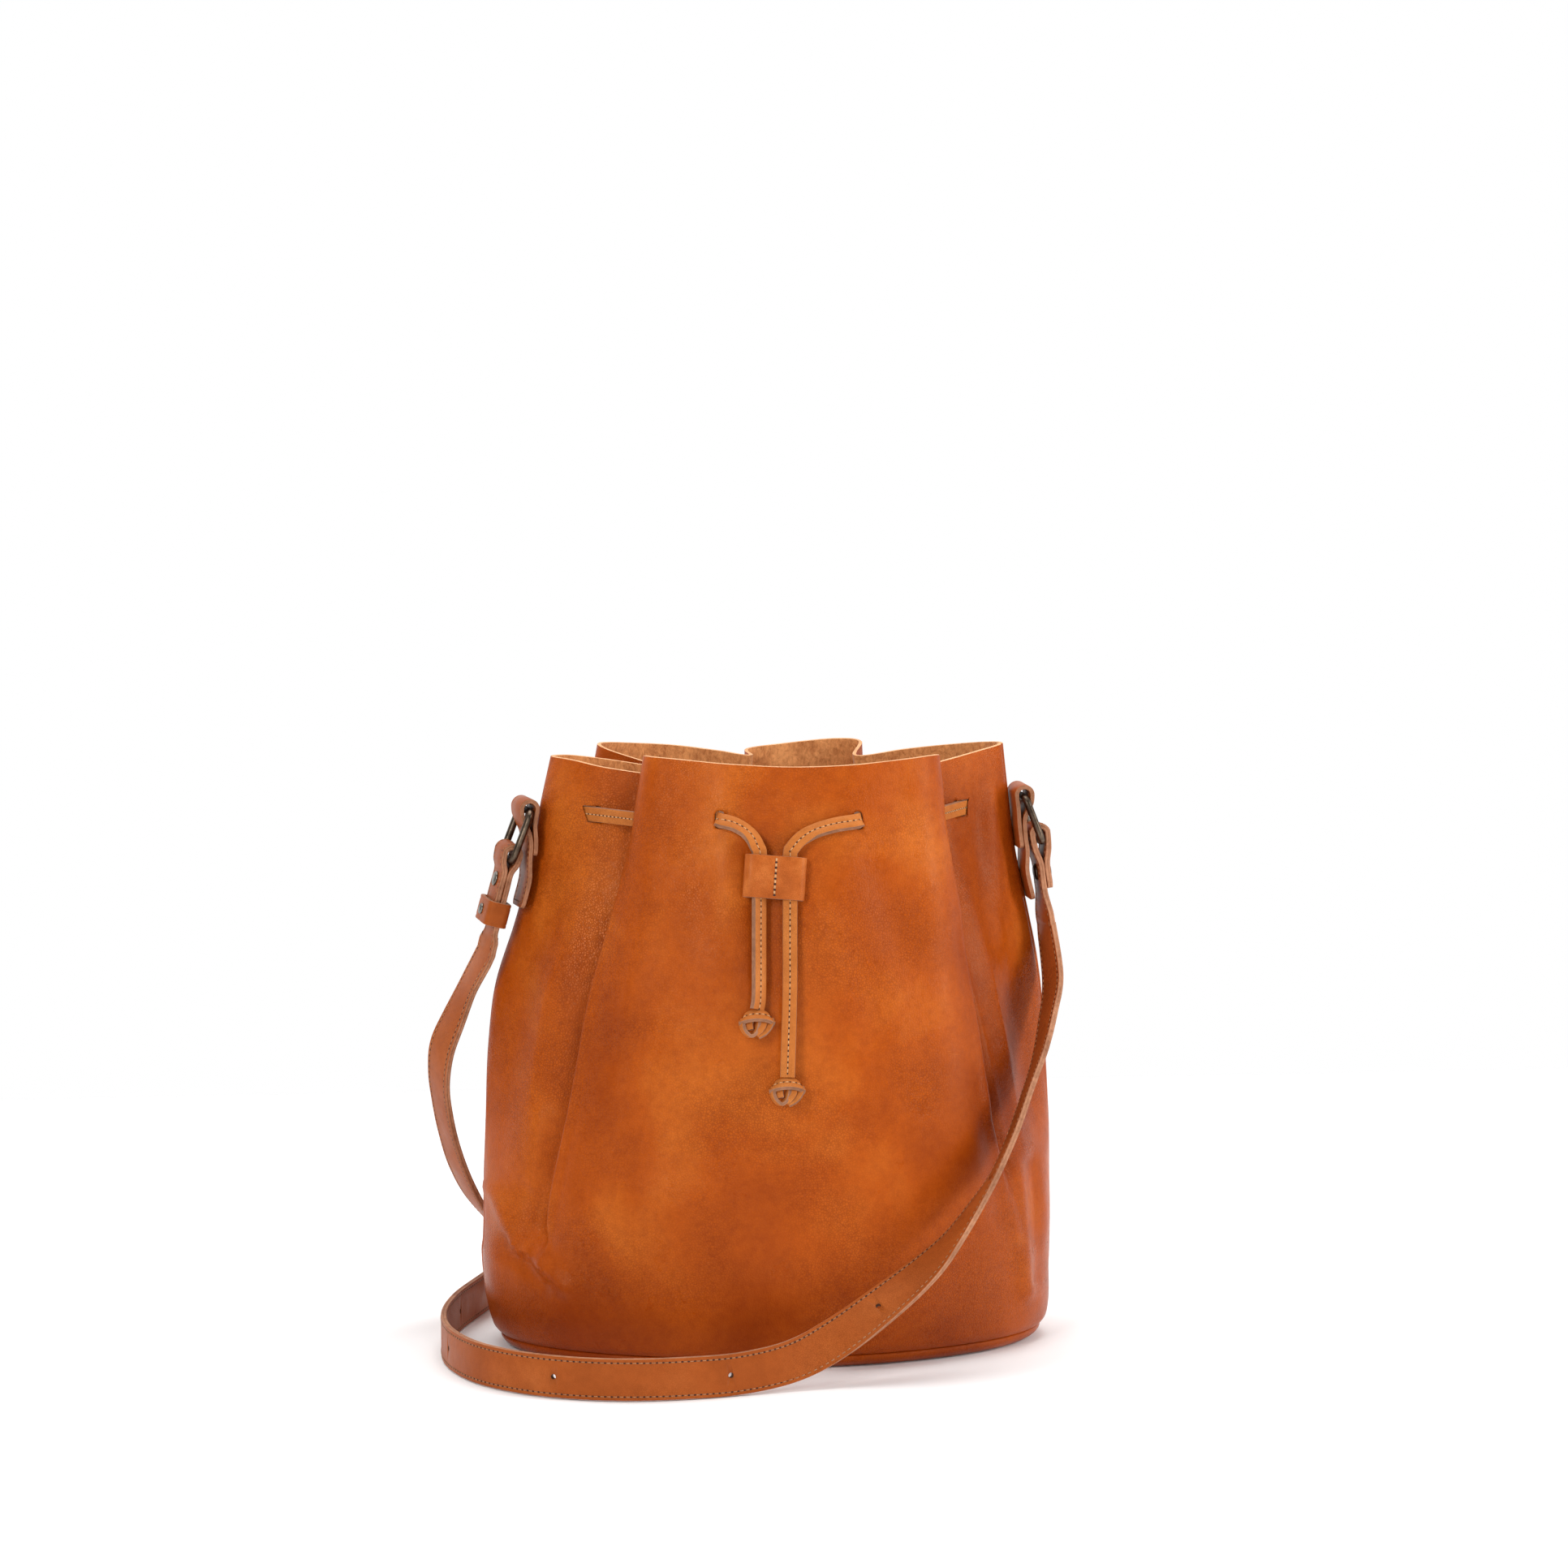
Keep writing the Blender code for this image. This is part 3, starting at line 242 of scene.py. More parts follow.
# The strap between its two ends, as (place, direction of its width).
STRAP_ROUTE = (
    ((-0.1483, 0.015, 0.1780), (-0.25, 0.95, 0.12)),
    ((-0.1560, 0.017, 0.1605), (-0.38, 0.90, 0.15)),
    ((-0.1618, 0.021, 0.1451), (-0.44, 0.88, 0.20)),
    ((-0.1632, 0.026, 0.1300), (-0.38, 0.88, 0.25)),
    ((-0.1615, 0.033, 0.1150), (-0.37, 0.88, 0.28)),
    ((-0.1575, 0.043, 0.0960), (-0.40, 0.84, 0.30)),
    ((-0.1510, 0.052, 0.0760), (-0.46, 0.78, 0.32)),
    ((-0.1407, 0.062, 0.0561), (-0.50, 0.68, 0.48)),
    ((-0.1250, 0.078, 0.0350), (-0.36, 0.45, 0.80)),
    ((-0.1040, 0.093, 0.0190), (-0.14, 0.18, 0.97)),
    ((-0.0800, 0.103, 0.0120), (0.00, 0.00, 1.00)),
    ((-0.0590, 0.110, 0.0106), (0.00, 0.00, 1.00)),
    ((-0.0460, 0.123, 0.0106), (0.00, 0.00, 1.00)),
    ((-0.0500, 0.139, 0.0106), (0.00, 0.00, 1.00)),
    ((-0.0680, 0.147, 0.0106), (0.00, 0.00, 1.00)),
    ((-0.0920, 0.143, 0.0106), (0.00, 0.00, 1.00)),
    ((-0.1130, 0.126, 0.0106), (0.00, 0.00, 1.00)),
    ((-0.1290, 0.099, 0.0106), (0.00, 0.00, 1.00)),
    ((-0.1420, 0.066, 0.0106), (0.00, 0.00, 1.00)),
    ((-0.1560, 0.026, 0.0106), (0.00, 0.00, 1.00)),
    ((-0.1640, -0.014, 0.0106), (0.00, 0.00, 1.00)),
    ((-0.1635, -0.050, 0.0106), (0.00, 0.00, 1.00)),
    ((-0.1535, -0.083, 0.0106), (0.00, 0.00, 1.00)),
    ((-0.1355, -0.107, 0.0106), (0.00, 0.00, 1.00)),
    ((-0.1120, -0.123, 0.0106), (0.00, 0.00, 1.00)),
    ((-0.0860, -0.131, 0.0106), (0.00, 0.00, 1.00)),
    ((-0.0580, -0.131, 0.0106), (0.00, 0.00, 1.00)),
    ((-0.0300, -0.125, 0.0108), (0.00, 0.06, 1.00)),
    ((-0.0040, -0.117, 0.0145), (-0.05, 0.20, 1.00)),
    ((0.0180, -0.110, 0.0238), (-0.20, 0.45, 0.80)),
    ((0.0420, -0.105, 0.0395), (-0.33, 0.70, 0.60)),
    ((0.0615, -0.100, 0.0540), (-0.33, 0.85, 0.30)),
    ((0.0755, -0.095, 0.0673), (-0.25, 0.93, -0.05)),
    ((0.0890, -0.087, 0.0834), (-0.20, 0.88, -0.30)),
    ((0.0998, -0.077, 0.0969), (-0.16, 0.82, -0.50)),
    ((0.1086, -0.066, 0.1107), (-0.16, 0.80, -0.55)),
    ((0.1180, -0.051, 0.1277), (-0.16, 0.79, -0.58)),
    ((0.1283, -0.030, 0.1440), (-0.18, 0.82, -0.52)),
    ((0.1350, -0.014, 0.1600), (-0.22, 0.87, -0.42)),
    ((0.1393, -0.003, 0.1775), (-0.25, 0.93, -0.27)),
)
# The strap's punched holes, the length next to each end that is cut off as a piece of its own, and
# the place that splits the run in two.
HOLE_SPACING, FIRST_HOLE, HOLE_RADIUS = 0.084, 0.0655, 0.0013
UPPER_STRETCH = 0.070
FLOOR_SPLIT = (-0.0590, 0.110, 0.0106)

# Stitching: pitches, how far the rows lie from the middle, how deep or proud the thread sits,
# the thread's radius and shape, the dark discs painted as shade in its needle holes, and the sunk line that
# it lies in.
STRAP_PITCH, LACE_PITCH, SLEEVE_PITCH = 0.0030, 0.0027, 0.0026
STRAP_INSET, TAB_INSET = STRAP_WIDTH / 2 - 0.0019, TAB_WIDTH / 2 - 0.0018
THREAD_SINK, CROSS_RISE = 0.00008, 0.00004
FINE_THREAD, THICK_THREAD = 0.00026, 0.00050
STITCH_SHARE, THREAD_FLAT = 0.66, 0.8
NEEDLE_LONG, NEEDLE_WIDE, NEEDLE_LIFT = 0.20, 1.7, 0.00005
LINE_HALF, LINE_SINK = 0.0007, 0.00016
STRAP_LIFT, LACE_LIFT = HALF_PLY - THREAD_SINK, HALF_LACE - THREAD_SINK
# Widths of a free end's last rows, as shares of the full width.
FREE_END = (0.995, 0.98, 0.955, 0.92, 0.86, 0.78)
SHORT_END = (0.80, 0.89, 0.95, 0.98, 0.995)

# How close to a strap's edge its faces still look cut.
EDGE_BAND = 0.0004

UP = np.array((0.0, 0.0, 1.0))


# ---------------------------------------------------------------- small maths
def unit(v):
    v = np.asarray(v, float)
    return v / np.maximum(np.linalg.norm(v, axis=-1, keepdims=True), 1e-12)


def smooth_step(low, high, value):
    share = np.clip((value - low) / (high - low), 0.0, 1.0)
    return share * share * (3.0 - 2.0 * share)


def curve_through(xs, ys, at):
    """Values of a smooth curve through rows ys at places xs."""
    slopes = np.gradient(ys, xs, axis=0)
    i = np.clip(np.searchsorted(xs, at, side="right") - 1, 0, len(xs) - 2)
    span = (xs[i + 1] - xs[i])[..., None]
    s = (np.asarray(at)[..., None] - xs[i][..., None]) / span
    rise = ys[i + 1] - ys[i]
    a, b = slopes[i] * span, slopes[i + 1] * span
    return ys[i] + s * (a + s * (3 * rise - 2 * a - b + s * (a + b - 2 * rise)))


def smooth_line(points, spacing, closed=False):
    """Rows evenly spaced along a smooth curve; columns after the third ride along."""
    points = np.asarray(points, float)
    if closed:
        points = np.vstack([points[-2:], points, points[:3]])
    steps = np.arange(len(points), dtype=float)
    first, last = (2, len(points) - 3) if closed else (0, len(points) - 1)
    fine = curve_through(steps, points, np.linspace(first, last, (last - first) * 40 + 1))
    lengths = distances(fine[:, :3])
    count = max(3, round(lengths[-1] / spacing) + 1)
    even = np.linspace(0, lengths[-1], count)
    rows = np.column_stack([np.interp(even, lengths, fine[:, k]) for k in range(fine.shape[1])])
    return rows[:-1] if closed else rows


def line_length(line):
    return float(np.linalg.norm(np.diff(line, axis=0), axis=1).sum())


def distances(line):
    """How far along the line each of its points lies."""
    return np.concatenate([[0], np.cumsum(np.linalg.norm(np.diff(line, axis=0), axis=1))])


def frames(line, widths, twist=0.0, closed=False):
    """(centres, across, through) of a strap along a line; twist in degrees turns its face."""
    line = np.asarray(line, float)
    if closed:
        tangent = unit(np.roll(line, -1, axis=0) - np.roll(line, 1, axis=0))
    else:
        tangent = unit(np.gradient(line, axis=0))
    widths = np.broadcast_to(widths, line.shape)
    across = unit(widths - tangent * (widths * tangent).sum(axis=1, keepdims=True))
    through = np.cross(tangent, across)
    turn = np.radians(np.broadcast_to(twist, len(line)))[:, None]
    cos, sin = np.cos(turn), np.sin(turn)
    return line, across * cos + through * sin, through * cos - across * sin


# ---------------------------------------------------------------- mesh building
# Edges sharper than this many degrees stay crisp.
SMOOTH = 42.0
# One stitch of thread: places along it as shares of its length, sizes, and heights in radii.
STITCH_SECTIONS = (
    (-0.5, 0.45, -1.0), (-0.32, 0.95, 0.1), (0.0, 1.0, 0.35), (0.32, 0.95, 0.1), (0.5, 0.45, -1.0)
)


class Shape:
    """Points, faces and material numbers gathered into one mesh object."""

    def __init__(self):
        self.points, self.faces, self.slots, self.count = [], [], [], 0

    def add(self, points, faces, slots):
        points = np.asarray(points, float).reshape(-1, 3)
        self.points.append(points)
        self.faces += [tuple(i + self.count for i in face) for face in faces]
        self.slots += [slots] * len(faces) if isinstance(slots, int) else list(slots)
        self.count += len(points)

    def grid(self, rows, slots=0, round_rows=False, round_points=False, caps=None):
        """Quads between rows of points; slots is one number or one per step along a row."""
        n, m = rows.shape[:2]
        faces, numbers = [], []
        for i in range(n if round_rows else n - 1):
            low, high = i * m, ((i + 1) % n) * m
            for j in range(m if round_points else m - 1):
                k = (j + 1) % m
                faces.append((low + j, low + k, high + k, high + j))
                numbers.append(slots if isinstance(slots, int) else slots[j])
        if caps is not None:
            faces.append(tuple(range(m)))
            faces.append(tuple(range((n - 1) * m, n * m)))
            numbers += [caps, caps]
        self.add(rows, faces, numbers)

    def strip(self, stations, outline, closed=False, scale=None):
        """A strap: an outline of (across, through) points swept along stations."""
        centres, across, through = stations
        x, y = outline[:, 0], outline[:, 1]
        wide = np.outer(np.ones(len(centres)) if scale is None else scale, x)
        rows = centres[:, None] + across[:, None] * wide[..., None] + through[:, None] * y[None, :, None]
        half = np.abs(x).max()
        side = np.abs(x) > half - EDGE_BAND
        slots = [int(side[j] and side[(j + 1) % len(x)]) for j in range(len(x))]
        self.grid(rows, slots, round_rows=closed, round_points=True, caps=None if closed else 1)

    def lathe(self, profile, place, axis, steps=32):
        """A solid turned round an axis; profile lists (height, radius) from back to front."""
        axis = unit(axis)
        first = unit(np.cross(axis, UP if abs(axis[2]) < 0.9 else (1.0, 0.0, 0.0)))
        second = np.cross(axis, first)
        angles = np.linspace(0, 2 * math.pi, steps, endpoint=False)
        ring = np.cos(angles)[:, None] * first + np.sin(angles)[:, None] * second
        rows = np.array([place + axis * h + ring * r for h, r in profile])
        self.grid(rows, round_points=True, caps=0)

    def stitches(self, stations, offset, lift, pitch, start=0.0, stop=None, radius=0.00028):
        """Thread in slot 2 and, in slot 3, dark discs painted as the shade in its needle holes, along a
        strap's face.
        """
        centres, across, through = stations
        lengths = distances(centres)
        stop = lengths[-1] if stop is None else stop
        side = math.copysign(1.0, lift)
        ring = [(math.cos(a), math.sin(a)) for a in (0.0, 1.05, 2.1, 3.14, 4.2, 5.2)]
        at = start + pitch * 0.5
        while at < stop - pitch * 0.4:
            c, a, t = (np.array([np.interp(at, lengths, part[:, k]) for k in range(3)])
                       for part in (centres, across, through))
            a, t = unit(a), unit(t)
            along = np.cross(a, t)
            middle = c + a * offset + t * lift
            rows = []
            for place, size, rise in STITCH_SECTIONS:
                spot = middle + along * place * pitch * STITCH_SHARE + t * side * rise * radius
                rows.append([spot + (a * x + t * y * THREAD_FLAT) * radius * size for x, y in ring])
            self.grid(np.array(rows), 2, round_points=True, caps=2)
            # Painted shade: a flat dark disc on the face stands for the needle hole.
            hole = middle + along * pitch * 0.5 + t * side * NEEDLE_LIFT
            shade_disc = [hole + along * x * pitch * NEEDLE_LONG + a * y * radius * NEEDLE_WIDE for x, y in ring]
            self.add(shade_disc, [tuple(range(6))], 3)
            at += pitch

    def build(self, name, materials, smooth=SMOOTH):
        """The finished object; faces point outward, and slots number its materials."""
        mesh = bpy.data.meshes.new(name)
        mesh.from_pydata(np.vstack(self.points).tolist(), [], self.faces)
        for material in materials:
            mesh.materials.append(material)
        mesh.polygons.foreach_set("material_index", self.slots)
        obj = bpy.data.objects.new(name, mesh)
        bpy.context.scene.collection.objects.link(obj)
        face_out(obj, smooth)
        return obj


@contextmanager
def mesh_edit(obj):
    """An object's mesh, open for editing and written back at the end."""
    builder = bmesh.new()
    builder.from_mesh(obj.data)
    yield builder
    builder.to_mesh(obj.data)
    builder.free()


def face_out(obj, smooth=SMOOTH):
    """Turns faces outward and shades smooth, except across edges sharper than the angle."""
    limit = math.radians(smooth)
    with mesh_edit(obj) as builder:
        bmesh.ops.recalc_face_normals(builder, faces=builder.faces)
        for face in builder.faces:
            face.smooth = True
        for edge in builder.edges:
            edge.smooth = len(edge.link_faces) == 2 and edge.calc_face_angle(0.0) < limit


def carve(obj, cutters):
    """Cuts the cutters out of an object's mesh."""
    for cutter in cutters:
        cut = obj.modifiers.new(cutter.name, "BOOLEAN")
        cut.operation, cut.object, cut.solver = "DIFFERENCE", cutter, "EXACT"
    bpy.context.view_layer.update()
    evaluated = obj.evaluated_get(bpy.context.evaluated_depsgraph_get())
    mesh = bpy.data.meshes.new_from_object(evaluated)
    obj.modifiers.clear()
    obj.data = mesh


def discard(objects):
    for obj in objects:
        bpy.data.objects.remove(obj)


def strap_outline(width, ply, grooves=(), corner=0.00045, plies=True):
    """A strap's cut end as (across, through) points: round corners, sunk stitch lines."""
    half, thick = width / 2, ply / 2
    top = [(half, thick - corner), (half - corner * 0.3, thick - corner * 0.3), (half - corner, thick)]
    for groove in sorted(grooves, reverse=True):
        top += [(groove + LINE_HALF, thick), (groove, thick - LINE_SINK), (groove - LINE_HALF, thick)]
    if not grooves:
        top.append((0.0, thick))
    top += [(corner - half, thick), (corner * 0.3 - half, thick - corner * 0.3), (-half, thick - corner)]
    bottom = [(-x, -y) for x, y in top]
    line = 0.0003 if plies else 0.00005
    edge = [(-half, line), (-half + line * 0.8, 0.0), (-half, -line)]
    return np.array(top + edge + bottom + [(-x, -y) for x, y in edge])


STRAP_OUTLINE = strap_outline(STRAP_WIDTH, STRAP_PLY, (-STRAP_INSET, STRAP_INSET))
LACE_OUTLINE = strap_outline(LACE_WIDTH, LACE_PLY, (0.0,), corner=0.0004)


# ---------------------------------------------------------------- materials
def put(tree, value, socket):
    """Links another node's output to a socket, or sets a plain value on it."""
    if isinstance(value, bpy.types.NodeSocket):
        tree.links.new(value, socket)
    else:
        socket.default_value = value


def add_node(tree, kind, values=(), **settings):
    made = tree.nodes.new(kind)
    for key, value in settings.items():
        setattr(made, key, value)
    for socket, value in dict(values).items():
        put(tree, value, made.inputs[socket])
    return made


class Nodes:
    """A material's node tree, with short ways to add and join nodes."""

    def __init__(self, name):
        self.material = bpy.data.materials.new(name)
        self.material.use_nodes = True
        self.tree = self.material.node_tree
        self.shader = self.tree.nodes["Principled BSDF"]

    def node(self, kind, values=(), **settings):
        return add_node(self.tree, kind, values, **settings)

    def shade(self, **values):
        for name, value in values.items():
            put(self.tree, value, self.shader.inputs[name.replace("_", " ")])

    def place(self):
        return self.node("ShaderNodeTexCoord").outputs["Object"]

    def noise(self, place, scale, detail=3.0, rough=0.55, distort=0.0):
        values = {"Vector": place, "Scale": scale, "Detail": detail, "Roughness": rough}
        return self.node("ShaderNodeTexNoise", {**values, "Distortion": distort})

    def stretch(self, place, sizes):
        values = {0: place, 1: sizes}
        return self.node("ShaderNodeVectorMath", values, operation="MULTIPLY").outputs[0]

    def span(self, value, low, high, new_low=0.0, new_high=1.0):
        values = {0: value, 1: low, 2: high, 3: new_low, 4: new_high}
        return self.node("ShaderNodeMapRange", values, interpolation_type="SMOOTHSTEP").outputs[0]

    def math(self, what, a, b=0.0):
        return self.node("ShaderNodeMath", {0: a, 1: b}, operation=what).outputs[0]

    def ramp(self, value, stops):
        made = self.node("ShaderNodeValToRGB", {0: value})
        marks = made.color_ramp.elements
        for i, (place, colour) in enumerate(stops):
            mark = marks[i] if i < 2 else marks.new(place)
            mark.position, mark.color = place, (*colour, 1.0)
        return made.outputs[0]

    def mix(self, share, a, b):
        """Some of the plain colour b over the colours that come from socket a."""
        return self.node("ShaderNodeMix", {0: share, 6: a, 7: (*b, 1.0)}, data_type="RGBA").outputs[2]

    def bump(self, height, strength, distance, normal=None):
        values = {"Height": height, "Strength": strength, "Distance": distance}
        if normal is not None:
            values["Normal"] = normal
        return self.node("ShaderNodeBump", values).outputs[0]


def nodes_for(name):
    """A new material's nodes, and its places in the object's own coordinates."""
    n = Nodes(name)
    return n, n.place()


def grown(colour, by):
    return tuple(min(1.0, c * by) for c in colour)


# How strongly the painted light and shade table moves a leather's colour, and the tint of the leathers'
# shine.
PAINTED_LIGHT_SHARE = 0.17
WARM_GLOSS = (1.0, 0.70, 0.45, 1.0)


def leather(name, deep, middle, light, grain, relief, gloss=0.33, patch=0.075, with_painted_light=False, shine=0.18):
    """Waxed leather: cloudy colour, pebbled grain, fine creases and a soft uneven gloss."""
    n, place = nodes_for(name)
    clouds = n.noise(place, 1.0 / patch, 5.0, 0.58, 0.4).outputs[0]
    # The mesh's attribute paints highlights and shade into the colour.
    if with_painted_light:
        tone = n.node("ShaderNodeAttribute", attribute_name="tone").outputs["Fac"]
        clouds = n.math("ADD", clouds, n.math("MULTIPLY", tone, PAINTED_LIGHT_SHARE))
    colour = n.ramp(clouds, ((0.0, deep), (0.50, middle), (1.0, light)))
    fleck = n.noise(place, 260.0, 3.0, 0.6).outputs[0]
    colour = n.mix(n.span(fleck, 0.35, 0.75, 0.0, 0.20), colour, grown(deep, 0.80))
    wander = n.noise(place, 300.0, 2.0).outputs["Color"]
    values = {0: wander, 1: (grain * 0.9,) * 3, 2: place}
    shifted = n.node("ShaderNodeVectorMath", values, operation="MULTIPLY_ADD").outputs[0]
    values = {"Vector": shifted, "Scale": 1.0 / grain}
    cells = n.node("ShaderNodeTexVoronoi", values, feature="DISTANCE_TO_EDGE").outputs["Distance"]
    pebble = n.span(cells, 0.0, 0.22)
    creases = n.noise(n.stretch(place, (1.0, 1.0, 0.55)), 620.0, 4.0, 0.65).outputs[0]
    worked = n.span(n.noise(place, 16.0, 3.0).outputs[0], 0.42, 0.66, 0.30, 1.0)
    dark = n.math("MULTIPLY", n.math("SUBTRACT", 1.0, pebble), n.math("MULTIPLY", worked, 0.40))
    colour = n.mix(dark, colour, grown(deep, 0.60))
    scuffs = n.noise(n.stretch(place, (1.0, 1.0, 2.4)), 46.0, 6.0, 0.7, 0.8).outputs[0]
    rubbed = n.span(scuffs, 0.66, 0.80, 0.0, 0.30)
    colour = n.mix(rubbed, colour, grown(light, 1.20))
    height = n.math("ADD", n.math("MULTIPLY", pebble, worked), n.math("MULTIPLY", creases, 0.9))
    fine = n.bump(height, 0.55, relief)
    rolling = n.noise(place, 38.0, 4.0, 0.55).outputs[0]
    normal = n.bump(rolling, 0.30, 0.0010, fine)
    rough = n.span(n.noise(place, 55.0, 4.0, 0.6).outputs[0], 0.3, 0.7, gloss - 0.06, gloss + 0.08)
    n.shade(Base_Color=colour, Roughness=rough, Normal=normal, Specular_IOR_Level=shine)
    n.shade(Specular_Tint=WARM_GLOSS)
    return n.material


def suede(name, dark, light):
    """The leather's fibrous flesh side."""
    n, place = nodes_for(name)
    fibre = n.noise(n.stretch(place, (1.0, 1.0, 0.6)), 520.0, 6.0, 0.72, 0.6).outputs[0]
    clouds = n.noise(place, 45.0, 4.0, 0.65).outputs[0]
    both = n.math("ADD", n.math("MULTIPLY", fibre, 0.6), n.math("MULTIPLY", clouds, 0.4))
    colour = n.ramp(both, ((0.36, dark), (0.62, light)))
    n.shade(Base_Color=colour, Roughness=0.93, Normal=n.bump(fibre, 0.8, 0.0005))
    n.shade(Specular_IOR_Level=0.2, Sheen_Weight=0.25, Sheen_Roughness=0.5)
    return n.material


def cut_edge(name, dark, light):
    """The cut edge of leather: burnished, with pores and streaks."""
    n, place = nodes_for(name)
    streak = n.noise(place, 420.0, 4.0, 0.7, 0.5).outputs[0]
    clouds = n.noise(place, 60.0, 3.0).outputs[0]
    both = n.math("ADD", n.math("MULTIPLY", streak, 0.5), n.math("MULTIPLY", clouds, 0.5))
    n.shade(Base_Color=n.ramp(both, ((0.35, dark), (0.62, light))), Roughness=0.62, Specular_IOR_Level=0.2)
    n.shade(Normal=n.bump(streak, 0.4, 0.00012))
    return n.material


def thread(name, dark, light):
    n, place = nodes_for(name)
    strands = n.noise(place, 2600.0, 2.0, 0.6, 1.2).outputs[0]
    colour = n.ramp(strands, ((0.35, dark), (0.62, light)))
    n.shade(Base_Color=colour, Roughness=0.6, Normal=n.bump(strands, 0.6, 0.00012))
    return n.material


def metal(name, dark, light, gloss):
    """Aged plating: cloudy tone, fine brushing and rubbed high spots."""
    n, place = nodes_for(name)
    clouds = n.noise(place, 160.0, 5.0, 0.65, 0.6).outputs[0]
    brush = n.noise(n.stretch(place, (0.3, 1.0, 1.0)), 3200.0, 2.0).outputs[0]
    n.shade(Base_Color=n.ramp(clouds, ((0.34, dark), (0.66, light))), Metallic=1.0)
    n.shade(Roughness=n.span(clouds, 0.3, 0.7, gloss + 0.10, gloss - 0.05))
    n.shade(Normal=n.bump(brush, 0.18, 0.00005))
    return n.material


def matt(name, dark, light):
    n, place = nodes_for(name)
    spots = n.noise(place, 900.0, 3.0).outputs[0]
    n.shade(Base_Color=n.ramp(spots, ((0.4, dark), (0.6, light))), Roughness=0.9)
    return n.material


BODY_LEATHER = leather(
    "cognac_leather", (0.165, 0.015, 0.0010), (0.415, 0.073, 0.0042), (0.70, 0.190, 0.0230), 0.0012, 0.00024,
    with_painted_light=True
)
SUEDE = suede("suede_flesh_side", (0.40, 0.125, 0.033), (0.90, 0.400, 0.140))
RAW_EDGE = cut_edge("raw_cut_edge", (0.56, 0.26, 0.11), (0.82, 0.47, 0.24))
STRAP_LEATHER = leather(
    "strap_leather", (0.19, 0.038, 0.0065), (0.35, 0.078, 0.0140), (0.52, 0.145, 0.034), 0.0009, 0.00007,
    0.42, 0.05, shine=0.14
)
STRAP_EDGE = cut_edge("strap_cut_edge", (0.24, 0.095, 0.045), (0.46, 0.21, 0.11))
LACE_LEATHER = leather(
    "lace_leather", (0.29, 0.074, 0.013), (0.50, 0.150, 0.030), (0.70, 0.260, 0.066), 0.0007, 0.00005,
    0.46, 0.03
)
LACE_EDGE = cut_edge("lace_cut_edge", (0.20, 0.088, 0.045), (0.36, 0.165, 0.090))
SLEEVE_LEATHER = leather(
    "sleeve_leather", (0.25, 0.045, 0.006), (0.45, 0.105, 0.018), (0.74, 0.240, 0.055), 0.0008, 0.00006,
    0.36, 0.012
)
TAB_EDGE = cut_edge("tab_cut_edge", (0.22, 0.088, 0.040), (0.40, 0.175, 0.090))
STRAP_THREAD = thread("strap_thread", (0.20, 0.075, 0.025), (0.42, 0.19, 0.075))
LACE_THREAD = thread("lace_thread", (0.30, 0.12, 0.04), (0.74, 0.44, 0.20))
NEEDLE_HOLE_SHADE = matt("needle_hole", (0.028, 0.010, 0.005), (0.060, 0.022, 0.010))
# The walls of slots and punched holes: cut leather, painted darker as the shade inside the holes.
HOLE_WALL_SHADE = cut_edge("hole_wall", (0.07, 0.025, 0.010), (0.20, 0.075, 0.030))
OLD_BRASS = metal("antique_brass", (0.045, 0.031, 0.022), (0.140, 0.100, 0.070), 0.36)
NICKEL = metal("grey_nickel", (0.13, 0.115, 0.10), (0.32, 0.29, 0.25), 0.32)
BOARD = cut_edge("leather_board", (0.15, 0.075, 0.035), (0.28, 0.150, 0.075))

STRAP_LOOK = (STRAP_LEATHER, STRAP_EDGE, STRAP_THREAD, NEEDLE_HOLE_SHADE)
LACE_LOOK = (LACE_LEATHER, LACE_EDGE, LACE_THREAD, NEEDLE_HOLE_SHADE)
TAB_LOOK = (STRAP_LEATHER, TAB_EDGE, STRAP_THREAD, NEEDLE_HOLE_SHADE)


# ---------------------------------------------------------------- the bag body
def profile_at(height):
    return curve_through(PROFILE[:, 0], PROFILE[:, 1:], np.clip(height, 0.0, RIM_HEIGHT))


def mouth_at(turn):
    """Angle, x share, y share, lift and pleat depth at places along MOUTH."""
    count = len(MOUTH)
    rounds = np.vstack([MOUTH] * 5)
    rounds[:, 0] += 360.0 * np.repeat(np.arange(-2, 3), count)
    steps = np.arange(-2.0 * count, 3.0 * count)
    return curve_through(steps, rounds, np.asarray(turn, float))


def turn_at(degrees):
    fine = np.linspace(-len(MOUTH), len(MOUTH) * 1.5, 6000)
    return float(np.interp(degrees, mouth_at(fine)[:, 0], fine))


def body_point(turn, height):
    """Points of the body's outer face: oval low down, gathered into pleats at the mouth."""
    turn, height = np.broadcast_arrays(np.asarray(turn, float), np.asarray(height, float))
    angle, x_share, y_share, lift, pleat = np.moveaxis(mouth_at(turn), -1, 0)
    angle = np.radians(angle)
    left, right, front, back = np.moveaxis(profile_at(height), -1, 0)
    panel = smooth_step(PLEAT_START, PANEL_SET, height)
    deep = np.clip((height - PLEAT_START) / (RIM_HEIGHT - PLEAT_START), 0.0, 1.0)
    gathered = panel + (deep - panel) * np.clip(pleat, 0.0, 1.0)
    x = np.sin(angle) + (x_share - np.sin(angle)) * gathered
    y = -np.cos(angle) + (y_share + np.cos(angle)) * gathered
    rise = lift * smooth_step(0.15, RIM_HEIGHT, height)
    x = x * np.where(x < 0, left, right)
    y = y * np.where(y < 0, front, back)
    return np.stack([x, y, height + rise], axis=-1)


def body_normal(turn, height):
    along = body_point(np.add(turn, 0.02), height) - body_point(np.subtract(turn, 0.02), height)
    return unit(np.stack([along[..., 1], -along[..., 0], np.zeros(along.shape[:-1])], axis=-1))


RIGHT_SEAM, LEFT_SEAM = turn_at(90.0), turn_at(270.0)


